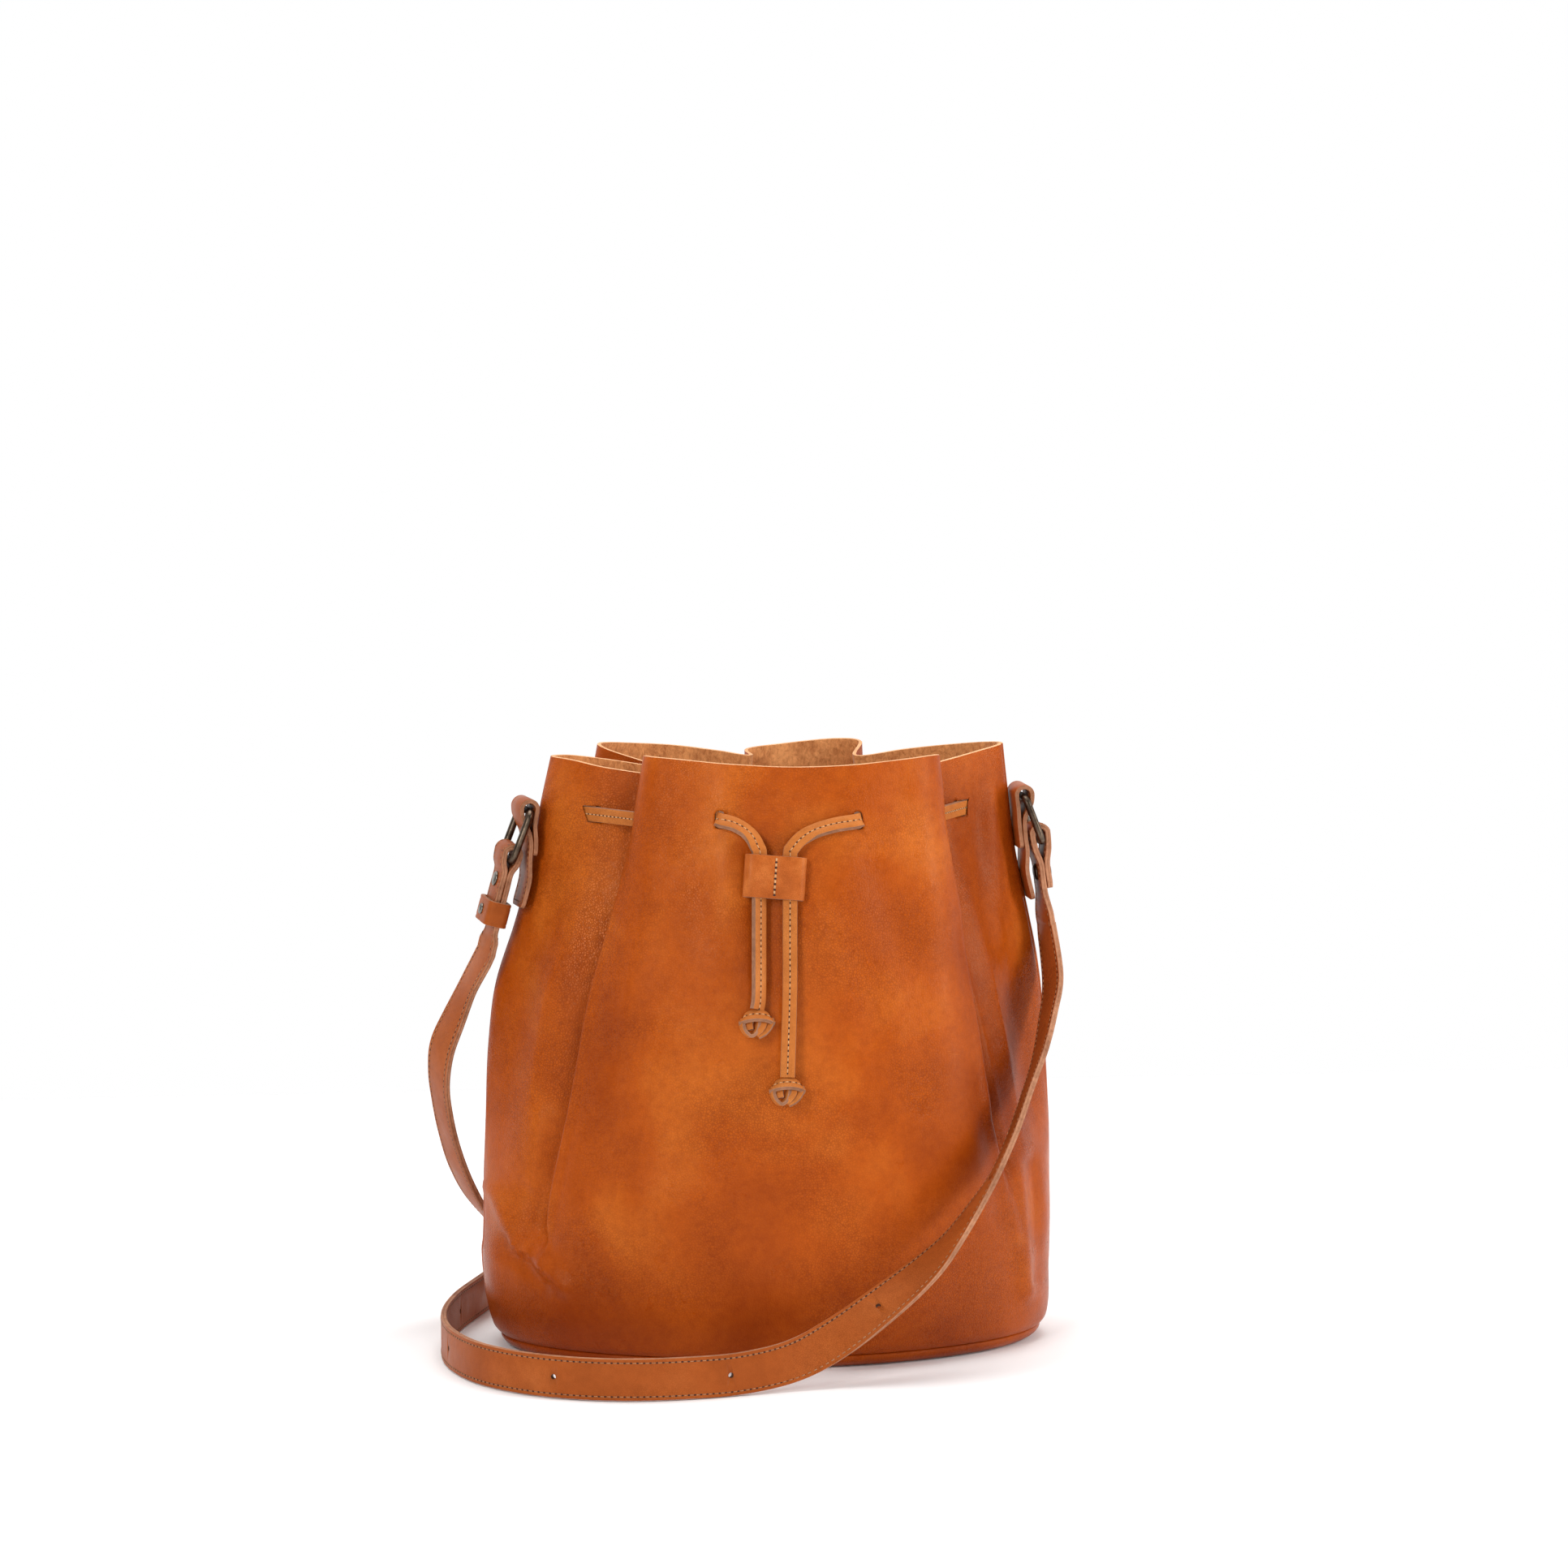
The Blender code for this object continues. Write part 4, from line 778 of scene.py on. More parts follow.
def marks(points, table, side):
    """The sum of soft marks from (x, z) to (x, z), each with its half width and strength."""
    x, y, z = np.moveaxis(points, -1, 0)
    here = y < 0.004 if side == "front" else y > 0.03
    total = np.zeros(x.shape)
    for x0, z0, x1, z1, wide, amount in table:
        share = ((x - x0) * (x1 - x0) + (z - z0) * (z1 - z0)) / ((x1 - x0) ** 2 + (z1 - z0) ** 2)
        share = np.clip(share, 0.0, 1.0)
        away = np.hypot(x - x0 - (x1 - x0) * share, z - z0 - (z1 - z0) * share)
        total += here * amount * np.exp(-((away / wide) ** 2))
    return total


def ripple(x, y, z):
    """A smooth rise and fall over the leather, in two sizes."""
    fine = noise.noise(Vector((x * 42.0, y * 42.0, z * 30.0)))
    return noise.noise(Vector((x * 17.0, y * 17.0, z * 12.0))) + 0.45 * fine


def relief(points, turns):
    """How far the leather stands out of its plain shape: soft undulations, folds and dents."""
    x, y, z = np.moveaxis(points, -1, 0)
    wave = np.array([ripple(*spot) for spot in points.reshape(-1, 3)]).reshape(x.shape)
    out = WAVE_HEIGHT * wave + marks(points, FRONT_FOLDS, "front") + marks(points, BACK_FOLDS, "back")
    # The front panel's two fold lines stay crisp down to the belly, each with a groove behind it.
    for side, start, place, drift, low, high, proud in FOLD_LINES:
        beyond = (turns - (place + drift * (1 - smooth_step(low, high, z)))) * side
        crest = proud * np.exp(-((beyond / CREST_WIDTH) ** 2))
        groove = GROOVE_DEPTH * np.exp(-(((beyond - GROOVE_PLACE) / GROOVE_WIDTH) ** 2))
        strong = smooth_step(start, start + 0.060, z) * (1 - 0.75 * smooth_step(0.20, 0.275, z))
        out += strong * (crest - groove)
    # The leather lies plain behind the tabs and along the lace, and swells at the right shoulder.
    near_tab = smooth_step(0.098, 0.108, np.abs(x)) * smooth_step(0.185, 0.215, z)
    near_tab = near_tab * (np.abs(y - 0.011) < 0.03)
    near_lace = np.exp(-(((z - LACE_HEIGHT) / 0.009) ** 2))
    out *= (1 - near_tab) * (1 - 0.9 * near_lace) * smooth_step(0.008, 0.028, z)
    shoulder = smooth_step(0.100, 0.112, x) * np.exp(-(((y + 0.004) / 0.011) ** 2))
    shoulder = shoulder * smooth_step(0.165, 0.205, z) * (1 - smooth_step(0.255, 0.284, z))
    return out * (1 - 0.6 * smooth_step(0.27, 0.289, z)) + SHOULDER_HEIGHT * shoulder


def set_painted_light(obj):
    """Painted highlights and painted shade on the leather, and lighter or darker places at its back, read by
    its material.
    """
    mesh = obj.data
    points = np.empty(len(mesh.vertices) * 3)
    mesh.vertices.foreach_get("co", points)
    points = points.reshape(-1, 3)
    tone = marks(points, FRONT_PAINTED_LIGHT, "front") + marks(points, BACK_TONES, "back")
    # Painted shade: the leather is darker towards the base.
    tone -= 1.1 * (1 - smooth_step(0.0, 0.075, points[:, 2]))
    mesh.attributes.new("tone", "FLOAT", "POINT").data.foreach_set("value", tone)


def panel(name, first, last, materials):
    """One sheet of leather between the two side seams: grain side, flesh side and raw rim."""
    ends = np.array([0.006, 0.02, 0.04, 0.06, 0.085, 0.115, 0.15, 0.20, 0.27, 0.35])
    body = np.arange(first + 0.43, last - 0.43, 1 / 12.0)
    turns = np.concatenate([first + ends, body, (last - ends)[::-1]])
    low = SEAM_HEIGHT + GAP
    curl = low + np.array([0.0, 0.0004, 0.0009, 0.0015, 0.0022, 0.003, 0.004, 0.0055])
    wall = np.arange(0.0145, RIM_HEIGHT - 0.0006, 0.0025)
    heights = np.concatenate([curl, wall, [RIM_HEIGHT - 0.0004, RIM_HEIGHT]])
    turn, height = np.meshgrid(turns, heights, indexing="ij")
    plain, normal = body_point(turn, height), body_normal(turn, height)
    to_seam = np.minimum(turn - first, last - turn) * SEAM_PER_TURN
    tuck = 0.0016 * np.clip(1 - to_seam / 0.0034, 0.0, 1.0) ** 2
    tuck = tuck + 0.0014 * np.clip(1 - (height - low) / 0.0042, 0.0, 1.0) ** 2
    stand = (relief(plain, turn) * smooth_step(0.0, 0.006, to_seam) - tuck)[..., None]
    outer = plain + normal * stand
    inner = outer - normal * LEATHER
    brow = UP * 0.00022
    rim = np.stack([
        outer[:, -1],
        outer[:, -1] - normal[:, -1] * 0.0003 + brow,
        inner[:, -1] + normal[:, -1] * 0.0003 + brow,
        inner[:, -1],
    ], axis=1)
    shape = Shape()
    shape.grid(outer, 0)
    shape.grid(inner, 1)
    shape.grid(rim, 2)
    shape.grid(np.stack([outer[:, 0], inner[:, 0]], axis=1), 2)
    for end in (0, -1):
        shape.grid(np.stack([outer[end], inner[end]], axis=1), 2)
    obj = shape.build(name, materials)
    weld(obj)
    return obj


def weld(obj):
    with mesh_edit(obj) as builder:
        bmesh.ops.remove_doubles(builder, verts=builder.verts, dist=0.00002)
    face_out(obj)


def front_turn(x, height):
    fine = np.linspace(-3.0, 3.0, 1500)
    return float(np.interp(x, body_point(fine, height)[:, 0], fine))


def front_spot(x, height, out):
    """A point standing off the front panel's outer face."""
    turn = front_turn(x, height)
    return body_point(turn, height) + body_normal(turn, height) * out


def lace_line(spacing):
    """The threaded lace's way round the mouth, inside the panels and across the pleats."""
    places = []
    for first, last in LACE_INSIDE:
        steps = max(2, round((last - first) / 7.0))
        for i in range(steps + 1):
            turn = turn_at(first + (last - first) * i / steps)
            spot = body_point(turn, LACE_HEIGHT) - body_normal(turn, LACE_HEIGHT) * LACE_DEPTH
            places.append((spot[0], spot[1], LACE_HEIGHT))
    return smooth_line(places, spacing)


def oval_plate(name, rings, material):
    """A flat oval solid as wide as the body's foot; rings lists (inset, height) over its rim."""
    left, right, front, back = profile_at(SEAM_HEIGHT)
    angles = np.linspace(0, 2 * math.pi, 200, endpoint=False)
    x, y = np.sin(angles), -np.cos(angles)
    rows = []
    for inset, height in rings:
        wide = np.where(x < 0, left, right) - inset
        deep = np.where(y < 0, front, back) - inset
        rows.append(np.stack([x * wide, y * deep, np.full(len(x), height)], axis=1))
    plate = Shape()
    plate.grid(np.array(rows), 0, round_points=True, caps=0)
    return plate.build(name, (material,), 60)


def make_body():
    count = len(MOUTH)
    skin = (BODY_LEATHER, SUEDE, RAW_EDGE, HOLE_WALL_SHADE)
    front = panel("front_panel", LEFT_SEAM - count, RIGHT_SEAM, skin)
    back = panel("back_panel", RIGHT_SEAM, LEFT_SEAM, skin)
    way = Shape()
    outline = strap_outline(LACE_WIDTH + WAY_ROOM, LACE_PLY + WAY_ROOM, plies=False)
    way.strip(frames(lace_line(0.002), UP), outline)
    cutters = [way.build("lace_way", (HOLE_WALL_SHADE, HOLE_WALL_SHADE))]
    for sign in (-1, 1):
        place = front_spot(sign * FRONT_SLOT, LACE_HEIGHT, 0.0)
        out = body_normal(front_turn(sign * FRONT_SLOT, LACE_HEIGHT), LACE_HEIGHT)
        along = unit(np.cross(out, UP))
        outline = strap_outline(LACE_WIDTH + SLOT_ROOM, LACE_PLY + SLOT_ROOM, corner=0.0018, plies=False)
        through = [place - out * 0.006, place, place + out * 0.006] + along * sign * 0.0003
        hole = Shape()
        hole.strip(frames(through, UP), outline)
        cutters.append(hole.build("front_slot", (HOLE_WALL_SHADE, HOLE_WALL_SHADE)))
    carve(front, cutters)
    carve(back, cutters[:1])
    discard(cutters)
    base = oval_plate("base_panel_tray", TRAY_RINGS, BODY_LEATHER)
    stiffener = oval_plate("base_board", BOARD_RINGS, BOARD)
    for piece, node in ((front, "body_front"), (back, "body_back"), (base, "base_panel")):
        set_painted_light(piece)
        stand_for(piece, "bag", "body_leather", node)
    stand_for(stiffener, "bag", "base_board", "base_stiffener")


def stand_for(piece, body, slot, *nodes):
    """The piece moves with a body and replaces these nodes of the model; slot is not used."""
    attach(piece, body)
    if nodes:
        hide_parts(*nodes)


# ---------------------------------------------------------------- hardware frames
class Side:
    """One side's hardware frame: out from the bag, width along the tab, and up."""

    def __init__(self, name, sign, centre_y, yaw, standoff, top, drop, hug):
        self.name, self.sign, self.top, self.drop, self.hug = name, sign, top, drop, hug
        turn = math.radians(yaw)
        self.out = np.array((sign * math.cos(turn), -math.sin(turn), 0.0))
        self.width = np.array((sign * math.sin(turn), math.cos(turn), 0.0))
        self.base = np.array((sign * (self.reach(top) + standoff), centre_y, 0.0))
        middle = TAB_LOOP_RADIUS + TAB_PLY / 2
        self.top_bar = self.point(GAP + TAB_PLY / 2 + middle, top - TOP_BAR_DROP)
        self.ring_down = self.out * math.sin(RING_LEAN) - UP * math.cos(RING_LEAN)
        self.low_bar = self.top_bar + self.ring_down * drop

    def reach(self, height):
        return float(profile_at(height)[0 if self.sign < 0 else 1])

    def face(self, height):
        """How far out a tab's ply starts at a height: it follows the bag, and hugs it lower down."""
        slope = self.reach(height) - self.reach(self.top)
        return slope - self.hug * (1 - smooth_step(self.top - 0.022, self.top - 0.006, height))

    def point(self, out, height):
        return self.base + self.out * out + UP * height


class StrapEnd:
    """A strap end's frame on its ring: down along the strap, out from the bag, across."""

    def __init__(self, side, lean, back, rise):
        lean, back = math.radians(lean), math.radians(back)
        down = side.out * math.sin(lean) - UP * math.cos(lean)
        self.side = side
        self.out = side.out * math.cos(lean) + UP * math.sin(lean)
        self.down = down * math.cos(back) + side.width * math.sin(back)
        self.across = side.width * math.cos(back) - down * math.sin(back)
        self.origin = side.low_bar - self.down * rise

    def point(self, down, out, across=0.0):
        return self.origin + self.down * down + self.out * out + self.across * across

    def widths(self, line, length):
        """The width direction along the end: its long ply turns a little below the free end."""
        rel = np.asarray(line) - self.origin
        turn, over = END_TURN[self.side.name]
        share = smooth_step(length - over, length, rel @ self.down)[..., None] * turn
        return unit(self.across * np.cos(share) + self.out * np.sin(share))


# Sign of X, Y, turn, stand-off, height of the tab's loop, drop of the ring's low bar, and how
# closely the tab hugs the bag.
LEFT = Side("left", -1, 0.010, 8.0, 0.0020, 0.2655, 0.0255, 0.0026)
RIGHT = Side("right", 1, 0.012, -1.0, 0.0014, 0.2690, 0.0235, 0.0006)
LEFT_END, RIGHT_END = StrapEnd(LEFT, 15.0, 2.0, 0.0032), StrapEnd(RIGHT, 8.0, -2.0, 0.0034)
# Length, free end and stud place of each strap end, down from the ring's low bar.
LEFT_SIZES, RIGHT_SIZES = (0.0450, 0.0265, 0.0140), (0.0420, 0.0275, 0.0195)


def arc(centre, radius, start, end, count):
    angles = np.radians(np.linspace(start, end, count))
    return [(centre[0] + radius * math.cos(a), centre[1] + radius * math.sin(a)) for a in angles]


def sew_across(shape, place, end, width, out, inset, lift, pitch):
    """A row of stitches across a ply, close to its free end."""
    row = frames([place + width * w for w in np.linspace(-inset, inset, 12)], end)
    lift = math.copysign(lift + CROSS_RISE, float(row[2][3] @ out))
    shape.stitches(row, 0.0, lift, pitch, 0.0018, 2 * inset - 0.0012)


def sew_edges(shape, stations, stop=None):
    """Stitches along both edges of the strap, on both of its faces."""
    for offset in (-STRAP_INSET, STRAP_INSET):
        for lift in (-STRAP_LIFT, STRAP_LIFT):
            shape.stitches(stations, offset, lift, STRAP_PITCH, 0.0, stop)


def make_tab(side):
    """A strip folded over the ring and sewn to the bag: short ply inside, long ply outside."""
    middle, inner = TAB_LOOP_RADIUS + TAB_PLY / 2, GAP + TAB_PLY / 2
    outer = inner + TAB_PLY + GAP
    loop, face = (inner + middle, side.top), side.face
    points = [(face(z) + inner, z) for z in (TAB_SHORT_END, side.top - 0.0155, side.top - 0.0075)]
    points += arc(loop, middle, 180.0, 0.0, 9)
    points += [(loop[0] + 0.0036, side.top - 0.0035), (loop[0] + 0.0021, side.top - 0.0075)]
    points.append((face(side.top - 0.0120) + outer + 0.0004, side.top - 0.0120))
    points += [(face(z) + outer, z) for z in (0.2480, TAB_SHORT_END)]
    points.append((face(0.2370) + inner + 0.0016, 0.2370))
    points += [(face(z) + inner + 0.0003, z) for z in (0.2300, TAB_LONG_END)]
    line = smooth_line([side.point(*p) for p in points], 0.0006)
    stations = frames(line, side.width)
    scale = np.ones(len(line))
    scale[-6:], scale[:5] = FREE_END, SHORT_END
    outline = strap_outline(TAB_WIDTH, TAB_PLY, (-TAB_INSET, TAB_INSET), plies=False)
    shape = Shape()
    shape.strip(stations, outline, scale=scale)
    length = line_length(line)
    outward = math.copysign(TAB_PLY / 2 - THREAD_SINK, float(stations[2][-2] @ side.out))
    for offset in (-TAB_INSET, TAB_INSET):
        shape.stitches(stations, offset, outward, LACE_PITCH, length - 0.0400, length - 0.0022)
    end = line[-1] - line[-4]
    sew_across(shape, line[-5], end, side.width, side.out, TAB_INSET, TAB_PLY / 2, LACE_PITCH)
    stand_for(shape.build(f"{side.name}_tab", TAB_LOOK), "bag", "strap_leather", f"tab_{side.name}")


def make_ring(side):
    """A rounded rectangle of round wire."""
    half = RING_WIDTH / 2
    corners = (
        (half - RING_CORNER, RING_CORNER, -90.0), (half - RING_CORNER, side.drop - RING_CORNER, 0.0),
        (RING_CORNER - half, side.drop - RING_CORNER, 90.0), (RING_CORNER - half, RING_CORNER, 180.0),
    )
    spots = []
    for u, v, start in corners:
        for x, y in arc((u, v), RING_CORNER, start, start + 90.0, 13):
            spots.append(side.top_bar + side.width * x + side.ring_down * y)
    line = np.array(spots)
    flat = np.cross(side.width, side.ring_down)
    angles = np.linspace(0, 2 * math.pi, 20, endpoint=False)
    outline = np.stack([np.cos(angles), np.sin(angles)], axis=1) * WIRE / 2
    centres, across, through = frames(line, flat, closed=True)
    rows = centres[:, None] + across[:, None] * outline[None, :, :1] + through[:, None] * outline[None, :, 1:]
    shape = Shape()
    shape.grid(rows, 0, round_rows=True, round_points=True)
    piece = shape.build(f"{side.name}_ring_wire", (OLD_BRASS,), 180)
    stand_for(piece, f"{side.name}_ring", "antique_brass", f"ring_{side.name}")


def strap_end_line(frame, length, free_end, stud):
    closed = stud - STUD_FLAT
    half_way = (STACK + FOLD_RADIUS) / 2
    points = [(length, -STACK), (stud + STUD_FLAT, -STACK), (closed, -STACK)]
    points.append((closed * 0.5, -half_way - 0.0006))
    points += [(-u, -v) for v, u in arc((0.0, 0.0), FOLD_RADIUS, 0.0, 180.0, 9)]
    points.append((closed * 0.5, half_way + 0.0006))
    points += [(closed, STACK), (stud + STUD_FLAT, STACK), (free_end, STACK)]
    return smooth_line([frame.point(*p) for p in points], 0.0007)


# A stud's dome from its foot up: height and radius as shares of the whole.
DOME = ((0.0, 1.0), (0.28, 0.995), (0.55, 0.95), (0.78, 0.82), (0.93, 0.60), (1.0, 0.30))


def stud(name, look, slot, body, node, place, axis, reach, radius, height=0.0013):
    """A domed head that stands on the leather, with a turned rim line."""
    profile = [(reach, radius * 0.96)] + [(reach + 0.00015 + height * h, radius * r) for h, r in DOME]
    profile += [(reach + 0.00015 + height, radius * 0.12)]
    shape = Shape()
    shape.lathe(profile, place, axis)
    stand_for(shape.build(name, (look,), 60), body, slot, node)


def make_strap_end(frame, sizes, look, slot, radius, closing):
    """The folded strap end, stitched along both edges, and the stud that closes it."""
    side = frame.side.name
    length, _, place = sizes
    line = strap_end_line(frame, *sizes)
    stations = frames(line, frame.widths(line, length))
    scale = np.ones(len(line))
    scale[-6:] = FREE_END
    shape = Shape()
    shape.strip(stations, STRAP_OUTLINE, scale=scale)
    sew_edges(shape, stations, line_length(line) - 0.002)
    end = line[-1] - line[-4]
    sew_across(shape, line[-4], end, frame.across, frame.out, STRAP_INSET, HALF_PLY, STRAP_PITCH)
    body = f"{side}_strap_end"
    stand_for(shape.build(f"{side}_strap_fold", STRAP_LOOK), body, "strap_leather", f"strap_end_{side}")
    spot, reach = frame.point(place, 0.0), STRAP_PLY + GAP / 2
    for node, axis in ((f"{closing}_cap", frame.out), (f"{closing}_back", -frame.out)):
        stud(f"{node}_head", look, slot, body, node, spot, axis, reach, radius)


def make_keeper():
    """A leather loop round both layers of the left strap end, closed by a small stud."""
    frame = LEFT_END
    middle = KEEPER_START + KEEPER_HEIGHT / 2
    half_across = (STRAP_WIDTH + 0.0012 + KEEPER_WALL) / 2
    half_out = (KEEPER_ROOM + KEEPER_WALL) / 2
    corner, bulge = 0.0024, 0.0002
    path = []
    for x, y, start in ((1, 1, 0), (-1, 1, 90), (-1, -1, 180), (1, -1, 270)):
        centre = (x * (half_across - corner), y * (half_out - corner))
        path += arc(centre, corner, start, start + 90.0, 7)
        if x == y:
            flat = [(centre[0] * (1 - t), t) for t in (0.33, 0.66, 1.0)]
            flat += [(-centre[0] * t, t) for t in (0.33, 0.66)]
            path += [(across, y * (half_out + bulge * math.sin(math.pi * t))) for across, t in flat]
    line = np.array([frame.point(middle, out, across) for across, out in path])
    shape = Shape()
    stations = frames(line, frame.down, closed=True)
    outline = strap_outline(KEEPER_HEIGHT, KEEPER_WALL, (-0.0042, 0.0042), corner=0.0005, plies=False)
    shape.strip(stations, outline, closed=True)
    stand_for(shape.build("keeper_band", STRAP_LOOK), "keeper", "strap_leather", "keeper_loop")
    spot, reach = frame.point(middle, half_out), KEEPER_WALL / 2 + 0.0001
    heads = (("keeper_stud_cap", frame.out, 0.0013), ("keeper_stud_back", -frame.out, 0.0004))
    for name, axis, height in heads:
        stud(f"{name}_head", NICKEL, "grey_nickel", "keeper", name, spot, axis, reach, 0.0027, height)


# ---------------------------------------------------------------- the long strap
def strap_rows():
    """Centre and width direction along the whole run, from the left end to the right one."""
    start = LEFT_END.point(LEFT_SIZES[0], -STACK)
    end = RIGHT_END.point(RIGHT_SIZES[0], -STACK)
    first, last = LEFT_END.widths(start, LEFT_SIZES[0]), RIGHT_END.widths(end, RIGHT_SIZES[0])
    rows = [(*(start + LEFT_END.down * at), *first) for at in (0.0, 0.0012, 0.0030, 0.0060)]
    rows += [(*place, *unit(width)) for place, width in STRAP_ROUTE]
    rows += [(*(end + RIGHT_END.down * at), *last) for at in (0.0060, 0.0030, 0.0012, 0.0)]
    return smooth_line(rows, 0.0025)


def make_strap():
    rows = strap_rows()
    line, across, through = frames(rows[:, :3], rows[:, 3:])
    lengths = distances(line)
    total = lengths[-1]
    floor_cut = lengths[np.argmin(np.linalg.norm(line - np.array(FLOOR_SPLIT), axis=1))]
    cuts = (0.0, UPPER_STRETCH, floor_cut, total - UPPER_STRETCH, total)
    names = ("strap_left_upper", "strap_left_lower", "strap_right_lower", "strap_right_upper")
    holes = FIRST_HOLE + HOLE_SPACING * np.arange(3, 11)
    pieces, paths = [], []
    for name, low, high in zip(names, cuts, cuts[1:]):
        first, last = np.searchsorted(lengths, low - 1e-6), np.searchsorted(lengths, high - 1e-6)
        part = slice(first, last + 1)
        stations = (line[part], across[part], through[part])
        shape = Shape()
        shape.strip(stations, STRAP_OUTLINE)
        piece = shape.build(name, (*STRAP_LOOK, HOLE_WALL_SHADE))
        cutters = []
        for at in holes[(holes > low + 0.004) & (holes < high - 0.004)]:
            k = np.searchsorted(lengths, at)
            punch = Shape()
            profile = ((-0.004, HOLE_RADIUS), (0.004, HOLE_RADIUS))
            punch.lathe(profile, line[k], through[k], 16)
            cutters.append(punch.build(f"punch_{k}", (HOLE_WALL_SHADE,)))
        if cutters:
            carve(piece, cutters)
        discard(cutters)
        sewing = Shape()
        sew_edges(sewing, stations)
        join(piece, sewing.build(name + "_sewing", STRAP_LOOK))
        pieces.append(piece)
        paths.append(line[part][::4])
    left_upper, left_lower, right_lower, right_upper = pieces
    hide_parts("strap_run")
    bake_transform(left_upper)
    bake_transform(right_upper)
    runs = (
        (left_lower, "left_ring", paths[1], left_upper),
        (right_lower, "right_ring", paths[2][::-1], right_upper),
    )
    for piece, ring, path, other in runs:
        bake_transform(piece)


def join(into, other):
    """Adds another object's mesh to this one, matching materials by name."""
    names = [m.name for m in into.data.materials]
    move = [names.index(m.name) for m in other.data.materials]
    with mesh_edit(into) as builder:
        before = len(builder.faces)
        builder.from_mesh(other.data)
        builder.faces.ensure_lookup_table()
        for face in builder.faces[before:]:
            face.material_index = move[face.material_index]
    bpy.data.objects.remove(other)


# ---------------------------------------------------------------- the lace
class Sleeve:
    """The lace sleeve's frame: its centre, down along the tails, across, and out."""

    def __init__(self):
        high = front_spot(SLEEVE_X, 0.250, SLEEVE_OUT)
        low = front_spot(SLEEVE_X - 0.0014, 0.190, SLEEVE_OUT)
        self.down = unit(low - high)
        self.across = unit(np.array((1.0, 0.0, 0.0)) - self.down * self.down[0])
        self.out = unit(np.cross(self.down, self.across))
        self.centre = high + self.down * ((0.250 - SLEEVE_Z) / -self.down[2])

    def point(self, across, down, out=0.0):
        return self.centre + self.across * across + self.down * down + self.out * out


SLEEVE = Sleeve()


def make_tail(name, sign):
    """One end of the lace: out of its slot, through the sleeve, and down to the knot."""
    slot, channel = sign * FRONT_SLOT, sign * LACE_SPACING / 2
    top = -SLEEVE_HEIGHT / 2
    knot_down = (SLEEVE_Z - KNOT_TOPS[name]) / -SLEEVE.down[2]
    straight = SLEEVE_HEIGHT / 2 + SLEEVE_TRAVEL
    out = GAP + LACE_PLY / 2
    places = [
        front_spot(slot, LACE_HEIGHT, -0.0046),
        front_spot(slot, LACE_HEIGHT, 0.0004),
    ]
    for angle, rise in ARM_STEPS:
        x = slot + (SLEEVE_X + channel - slot) * math.sin(math.radians(angle))
        places.append(front_spot(x, LACE_HEIGHT - ARM_DROP * (1 - math.cos(math.radians(angle))), out + rise))
    places += [
        SLEEVE.point(channel, top - 0.0012),
        SLEEVE.point(channel, 0.0),
        SLEEVE.point(channel, straight * 0.5),
        SLEEVE.point(channel, min(straight, knot_down - 0.006)),
    ]
    end = SLEEVE.point(channel - 0.0008, knot_down - GAP)
    end[1] = max(end[1], SLEEVE.point(0.0, knot_down)[1] + 0.0015 * (sign > 0))
    places.append(end)
    line = smooth_line(places, 0.0009)
    tangent = unit(np.gradient(line, axis=0))
    flat = np.cross(SLEEVE.out, tangent)
    share = smooth_step(0.20, 0.60, np.linalg.norm(flat, axis=1))[:, None]
    widths = UP * -sign * (1 - share) + flat * share
    lengths = distances(line)
    twist = np.interp(lengths, *zip(*TAIL_TWISTS[name]))
    stations = frames(line, widths, twist)
    shape = Shape()
    shape.strip(stations, LACE_OUTLINE)
    lift = math.copysign(LACE_LIFT, float(stations[2][len(line) // 2] @ SLEEVE.out))
    shape.stitches(stations, 0.0, lift, LACE_PITCH, radius=FINE_THREAD)
    tail = shape.build(f"lace_{name}_tail", LACE_LOOK)
    stand_for(tail, "bag", "lace_leather", f"drawstring_{name}")
    knot = make_knot(name, line[-1])
    path = line[::5]
    if np.linalg.norm(path[-1] - line[-1]) > 1e-6:
        path = np.vstack([path, line[-1]])


# Strands under a knot's band, in mm: (across, down, out) places, width direction, width, ply.
KNOT_STRANDS = (
    (((-6.3, 1.6, 0.0), (-7.0, 4.6, 0.8), (-5.8, 7.8, 1.4), (-3.2, 9.6, 1.6), (-0.8, 7.8, 1.5),
      (0.3, 4.4, 1.2), (0.6, 1.6, 0.8)), (0.35, 0.0, 1.0), 3.8, 1.9),
    (((-2.9, 1.4, 0.2), (-3.6, 4.2, 1.0), (-3.3, 6.9, 2.0)), (1.0, 0.0, 0.4), 3.4, 1.9),
    (((6.2, 1.4, 0.0), (5.9, 4.2, 0.9), (3.6, 7.4, 1.5), (0.2, 9.4, 1.3)), (0.7, 0.6, 0.5), 4.0, 1.9),
    (((3.4, 1.4, 0.9), (3.0, 4.4, 2.0), (1.4, 7.0, 2.4), (-0.8, 8.8, 2.0)), (1.0, 0.5, 0.2), 2.9, 1.8),
)


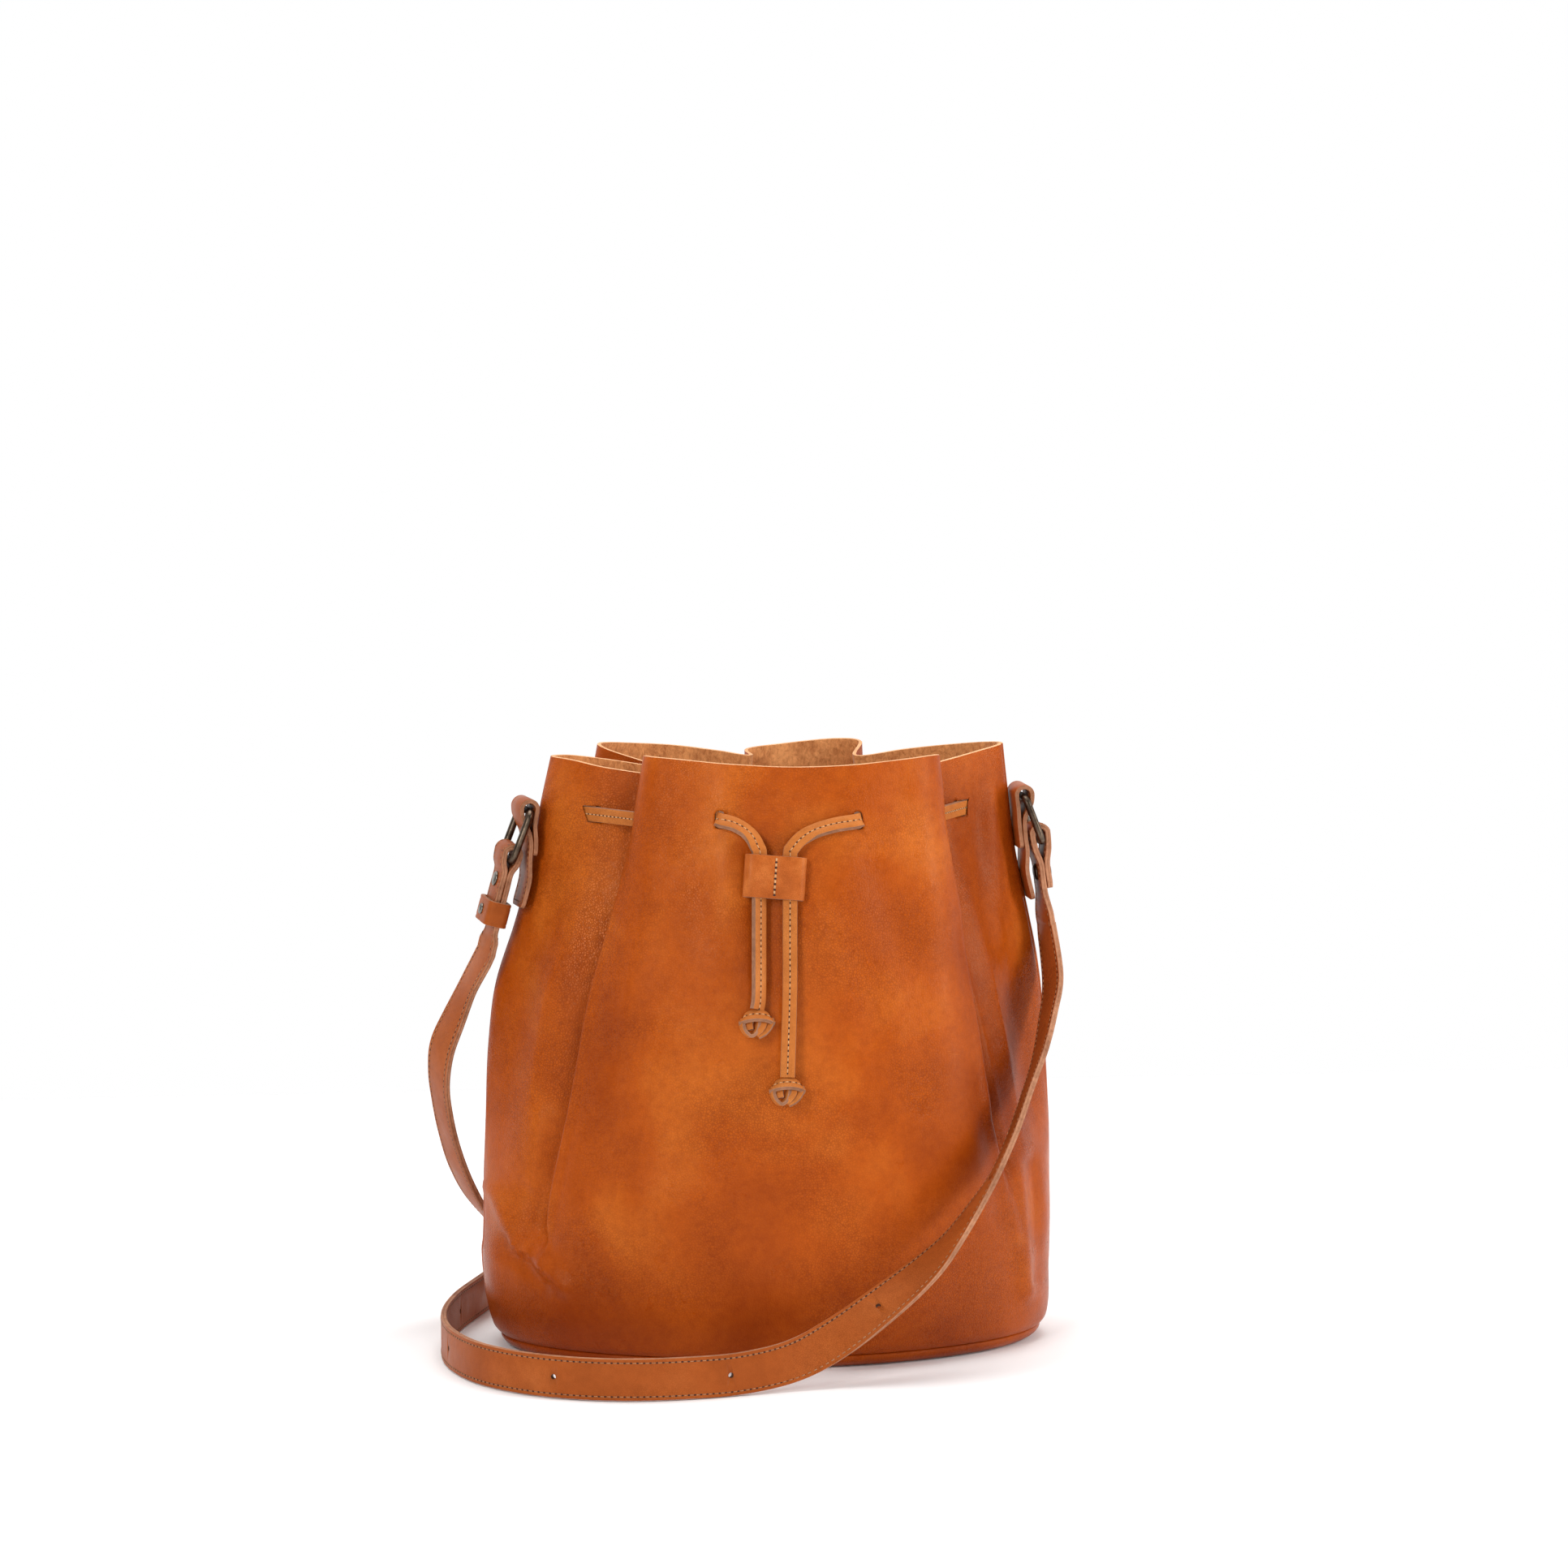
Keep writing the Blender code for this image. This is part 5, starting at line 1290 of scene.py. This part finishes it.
def make_knot(name, top):
    """The knotted lace end: a flared band wrapped over it, and the strands looped under it."""
    out, side, down = SLEEVE.out, SLEEVE.across, SLEEVE.down
    centre = top - out * 0.0010 + down * 0.0030
    path, widths = [], []
    for angle in KNOT_ANGLES:
        around = side * math.sin(angle) + out * math.cos(angle)
        drop = 0.0024 * (1 - math.cos(angle)) * (1 if abs(angle) < math.pi / 2 else 1.2)
        away = 0.0034 * math.cos(angle) - 0.0004
        path.append(centre + side * 0.0062 * math.sin(angle) + out * away + down * drop)
        flare = math.radians(46 - 30 * math.sin(abs(angle) / 2) ** 2)
        widths.append(down * math.cos(flare) + around * math.sin(flare))
    stations = frames(path, np.array(widths))
    band = Shape()
    scale = 1.0 - 0.30 * (1 - np.cos(KNOT_ANGLES)) / 2
    outline = strap_outline(KNOT_BAND_WIDTH, KNOT_BAND_PLY, (0.0,), corner=0.0005)
    band.strip(stations, outline, scale=scale)
    facing = float(stations[2][len(path) // 2] @ out)
    lift = math.copysign(KNOT_BAND_PLY / 2 - 0.00006, facing)
    band.stitches(stations, 0.0, lift, LACE_PITCH, 0.004, line_length(path) - 0.004, FINE_THREAD)
    band = band.build(f"knot_{name}_band", LACE_LOOK)
    stand_for(band, "bag", "lace_leather", f"knot_{name}")
    loops = Shape()
    axes = np.array([side, down, out])
    for places, width, wide, ply in KNOT_STRANDS:
        strand = smooth_line(centre + np.array(places) * 0.001 @ axes, 0.0005)
        outline = strap_outline(wide * 0.001, ply * 0.001, corner=0.0004)
        loops.strip(frames(strand, unit(np.array(width) @ axes)), outline)
    inner = loops.build(f"knot_{name}_loops", LACE_LOOK)
    stand_for(inner, "bag", "lace_leather")
    return [band, inner]


def make_run():
    """The threaded lace round the mouth, stitched down its middle."""
    line = lace_line(0.0012)
    stations = frames(line, UP)
    shape = Shape()
    shape.strip(stations, LACE_OUTLINE)
    for lift in (-LACE_LIFT, LACE_LIFT):
        shape.stitches(stations, 0.0, lift, LACE_PITCH, radius=FINE_THREAD)
    stand_for(shape.build("lace_round_mouth", LACE_LOOK), "bag", "lace_leather", "drawstring_run")


def make_sleeve():
    """A wide leather band closed on itself and sewn through its middle into two channels."""
    half = ((0.0, -0.00225), (0.0022, -0.0027), (0.0055, -0.0030), (0.0095, -0.0030), (0.0124, -0.0024),
            (0.0138, -0.0011), (0.0142, 0.0))
    right = [(x, y) for x, y in half] + [(x, -y) for x, y in half[-2::-1]]
    outline = right + [(-x, -y) for x, y in right[1:-1]]
    even = smooth_line([(x, y, 0.0) for x, y in outline], 0.0008, closed=True)
    cos, sin = math.cos(SLEEVE_TILT), math.sin(SLEEVE_TILT)
    across = SLEEVE.across * cos + SLEEVE.down * sin
    down = SLEEVE.down * cos - SLEEVE.across * sin
    line = np.array([SLEEVE.centre + across * x + SLEEVE.out * -y for x, y, _ in even])
    stations = frames(line, down, closed=True)
    wall, depth, reach = 0.0013, -half[0][1], 0.0097
    shape = Shape()
    shape.strip(stations, strap_outline(SLEEVE_HEIGHT, wall, corner=0.0004, plies=False), closed=True)
    for face in (1.0, -1.0):
        spot = SLEEVE.centre + SLEEVE.out * (depth * face)
        rows = frames([spot + down * d for d in np.linspace(-reach, reach, 20)], across)
        lift = math.copysign(wall / 2 + 0.00005, float(rows[2][0] @ SLEEVE.out) * face)
        shape.stitches(rows, 0.0, lift, SLEEVE_PITCH, radius=THICK_THREAD)
    look = (SLEEVE_LEATHER, LACE_EDGE, LACE_THREAD, NEEDLE_HOLE_SHADE)
    stand_for(shape.build("lace_sleeve_band", look), "lace_sleeve", "lace_leather", "cord_slide")


# ---------------------------------------------------------------- stage
LENS, SENSOR = 111.8, 36.0
TARGET, DISTANCE, AZIMUTH, ELEVATION = (0.0, 0.0, 0.155), 2.4, -7.0, 8.9
SHIFT = (0.00725, 0.1563)
WORLD_FRONT, WORLD_BACK = 0.13, 1.0
LAMPS = (
    ("key_left", (-1.05, -1.60, 0.95), (0.45, 0.9), 19.0),
    ("fill_right", (1.50, -0.65, 0.70), (0.4, 1.1), 16.0),
    ("top", (0.0, 0.10, 1.70), (1.4, 1.0), 19.0),
    ("front", (0.30, -2.60, 0.60), (0.6, 0.6), 9.0),
)


def make_stage():
    scene = bpy.context.scene
    floor_mesh = bpy.data.meshes.new("floor")
    floor_mesh.from_pydata([(-5, -3, 0), (5, -3, 0), (5, 0.75, 0), (-5, 0.75, 0)], [], [(0, 1, 2, 3)])
    floor = bpy.data.objects.new("floor", floor_mesh)
    n, place = nodes_for("pale_floor")
    cloud = n.noise(place, 3.0, 2.0).outputs[0]
    n.shade(Base_Color=n.ramp(cloud, ((0.3, (0.955,) * 3), (0.7, (0.965,) * 3))))
    n.shade(Roughness=0.95, Specular_IOR_Level=0.0)
    floor_mesh.materials.append(n.material)
    scene.collection.objects.link(floor)

    # The studio round the bag: bright behind and above it, dimmer on the front's side.
    world = bpy.data.worlds.new("studio")
    world.use_nodes = True
    tree = world.node_tree
    place = add_node(tree, "ShaderNodeTexCoord").outputs["Generated"]
    split = add_node(tree, "ShaderNodeSeparateXYZ", {0: place})
    values = {0: split.outputs[1], 1: -0.35, 2: 0.55, 3: WORLD_FRONT, 4: WORLD_BACK}
    depth = add_node(tree, "ShaderNodeMapRange", values, interpolation_type="SMOOTHSTEP")
    background = tree.nodes["Background"]
    put(tree, (1.0, 1.0, 1.0, 1.0), background.inputs[0])
    put(tree, depth.outputs[0], background.inputs[1])
    scene.world = world
    for name, place, size, power in LAMPS:
        lamp = bpy.data.lights.new(name, "AREA")
        lamp.shape, lamp.size, lamp.size_y, lamp.energy = "RECTANGLE", *size, power
        holder = bpy.data.objects.new(name, lamp)
        holder.location = place
        holder.rotation_euler = (Vector((0, 0, 0.14)) - Vector(place)).to_track_quat("-Z", "Y").to_euler()
        scene.collection.objects.link(holder)

    turn, rise = math.radians(AZIMUTH), math.radians(ELEVATION)
    back = Vector((math.sin(turn) * math.cos(rise), -math.cos(turn) * math.cos(rise), math.sin(rise)))
    lens = bpy.data.cameras.new("camera")
    lens.lens, lens.sensor_width = LENS, SENSOR
    lens.shift_x, lens.shift_y = SHIFT
    camera = bpy.data.objects.new("camera", lens)
    camera.location = Vector(TARGET) + back * DISTANCE
    camera.rotation_euler = (-back).to_track_quat("-Z", "Y").to_euler()
    scene.collection.objects.link(camera)
    scene.camera = camera
    scene.view_settings.view_transform = "Standard"


def main():
    make_stage()
    make_strap()
    make_tail("left", -1)
    make_tail("right", 1)
    make_body()
    for side in (LEFT, RIGHT):
        make_tab(side)
        make_ring(side)
    make_strap_end(LEFT_END, LEFT_SIZES, NICKEL, "grey_nickel", 0.0036, "strap_stud")
    make_strap_end(RIGHT_END, RIGHT_SIZES, OLD_BRASS, "antique_brass", 0.0042, "strap_rivet")
    make_keeper()
    make_run()
    make_sleeve()


main()
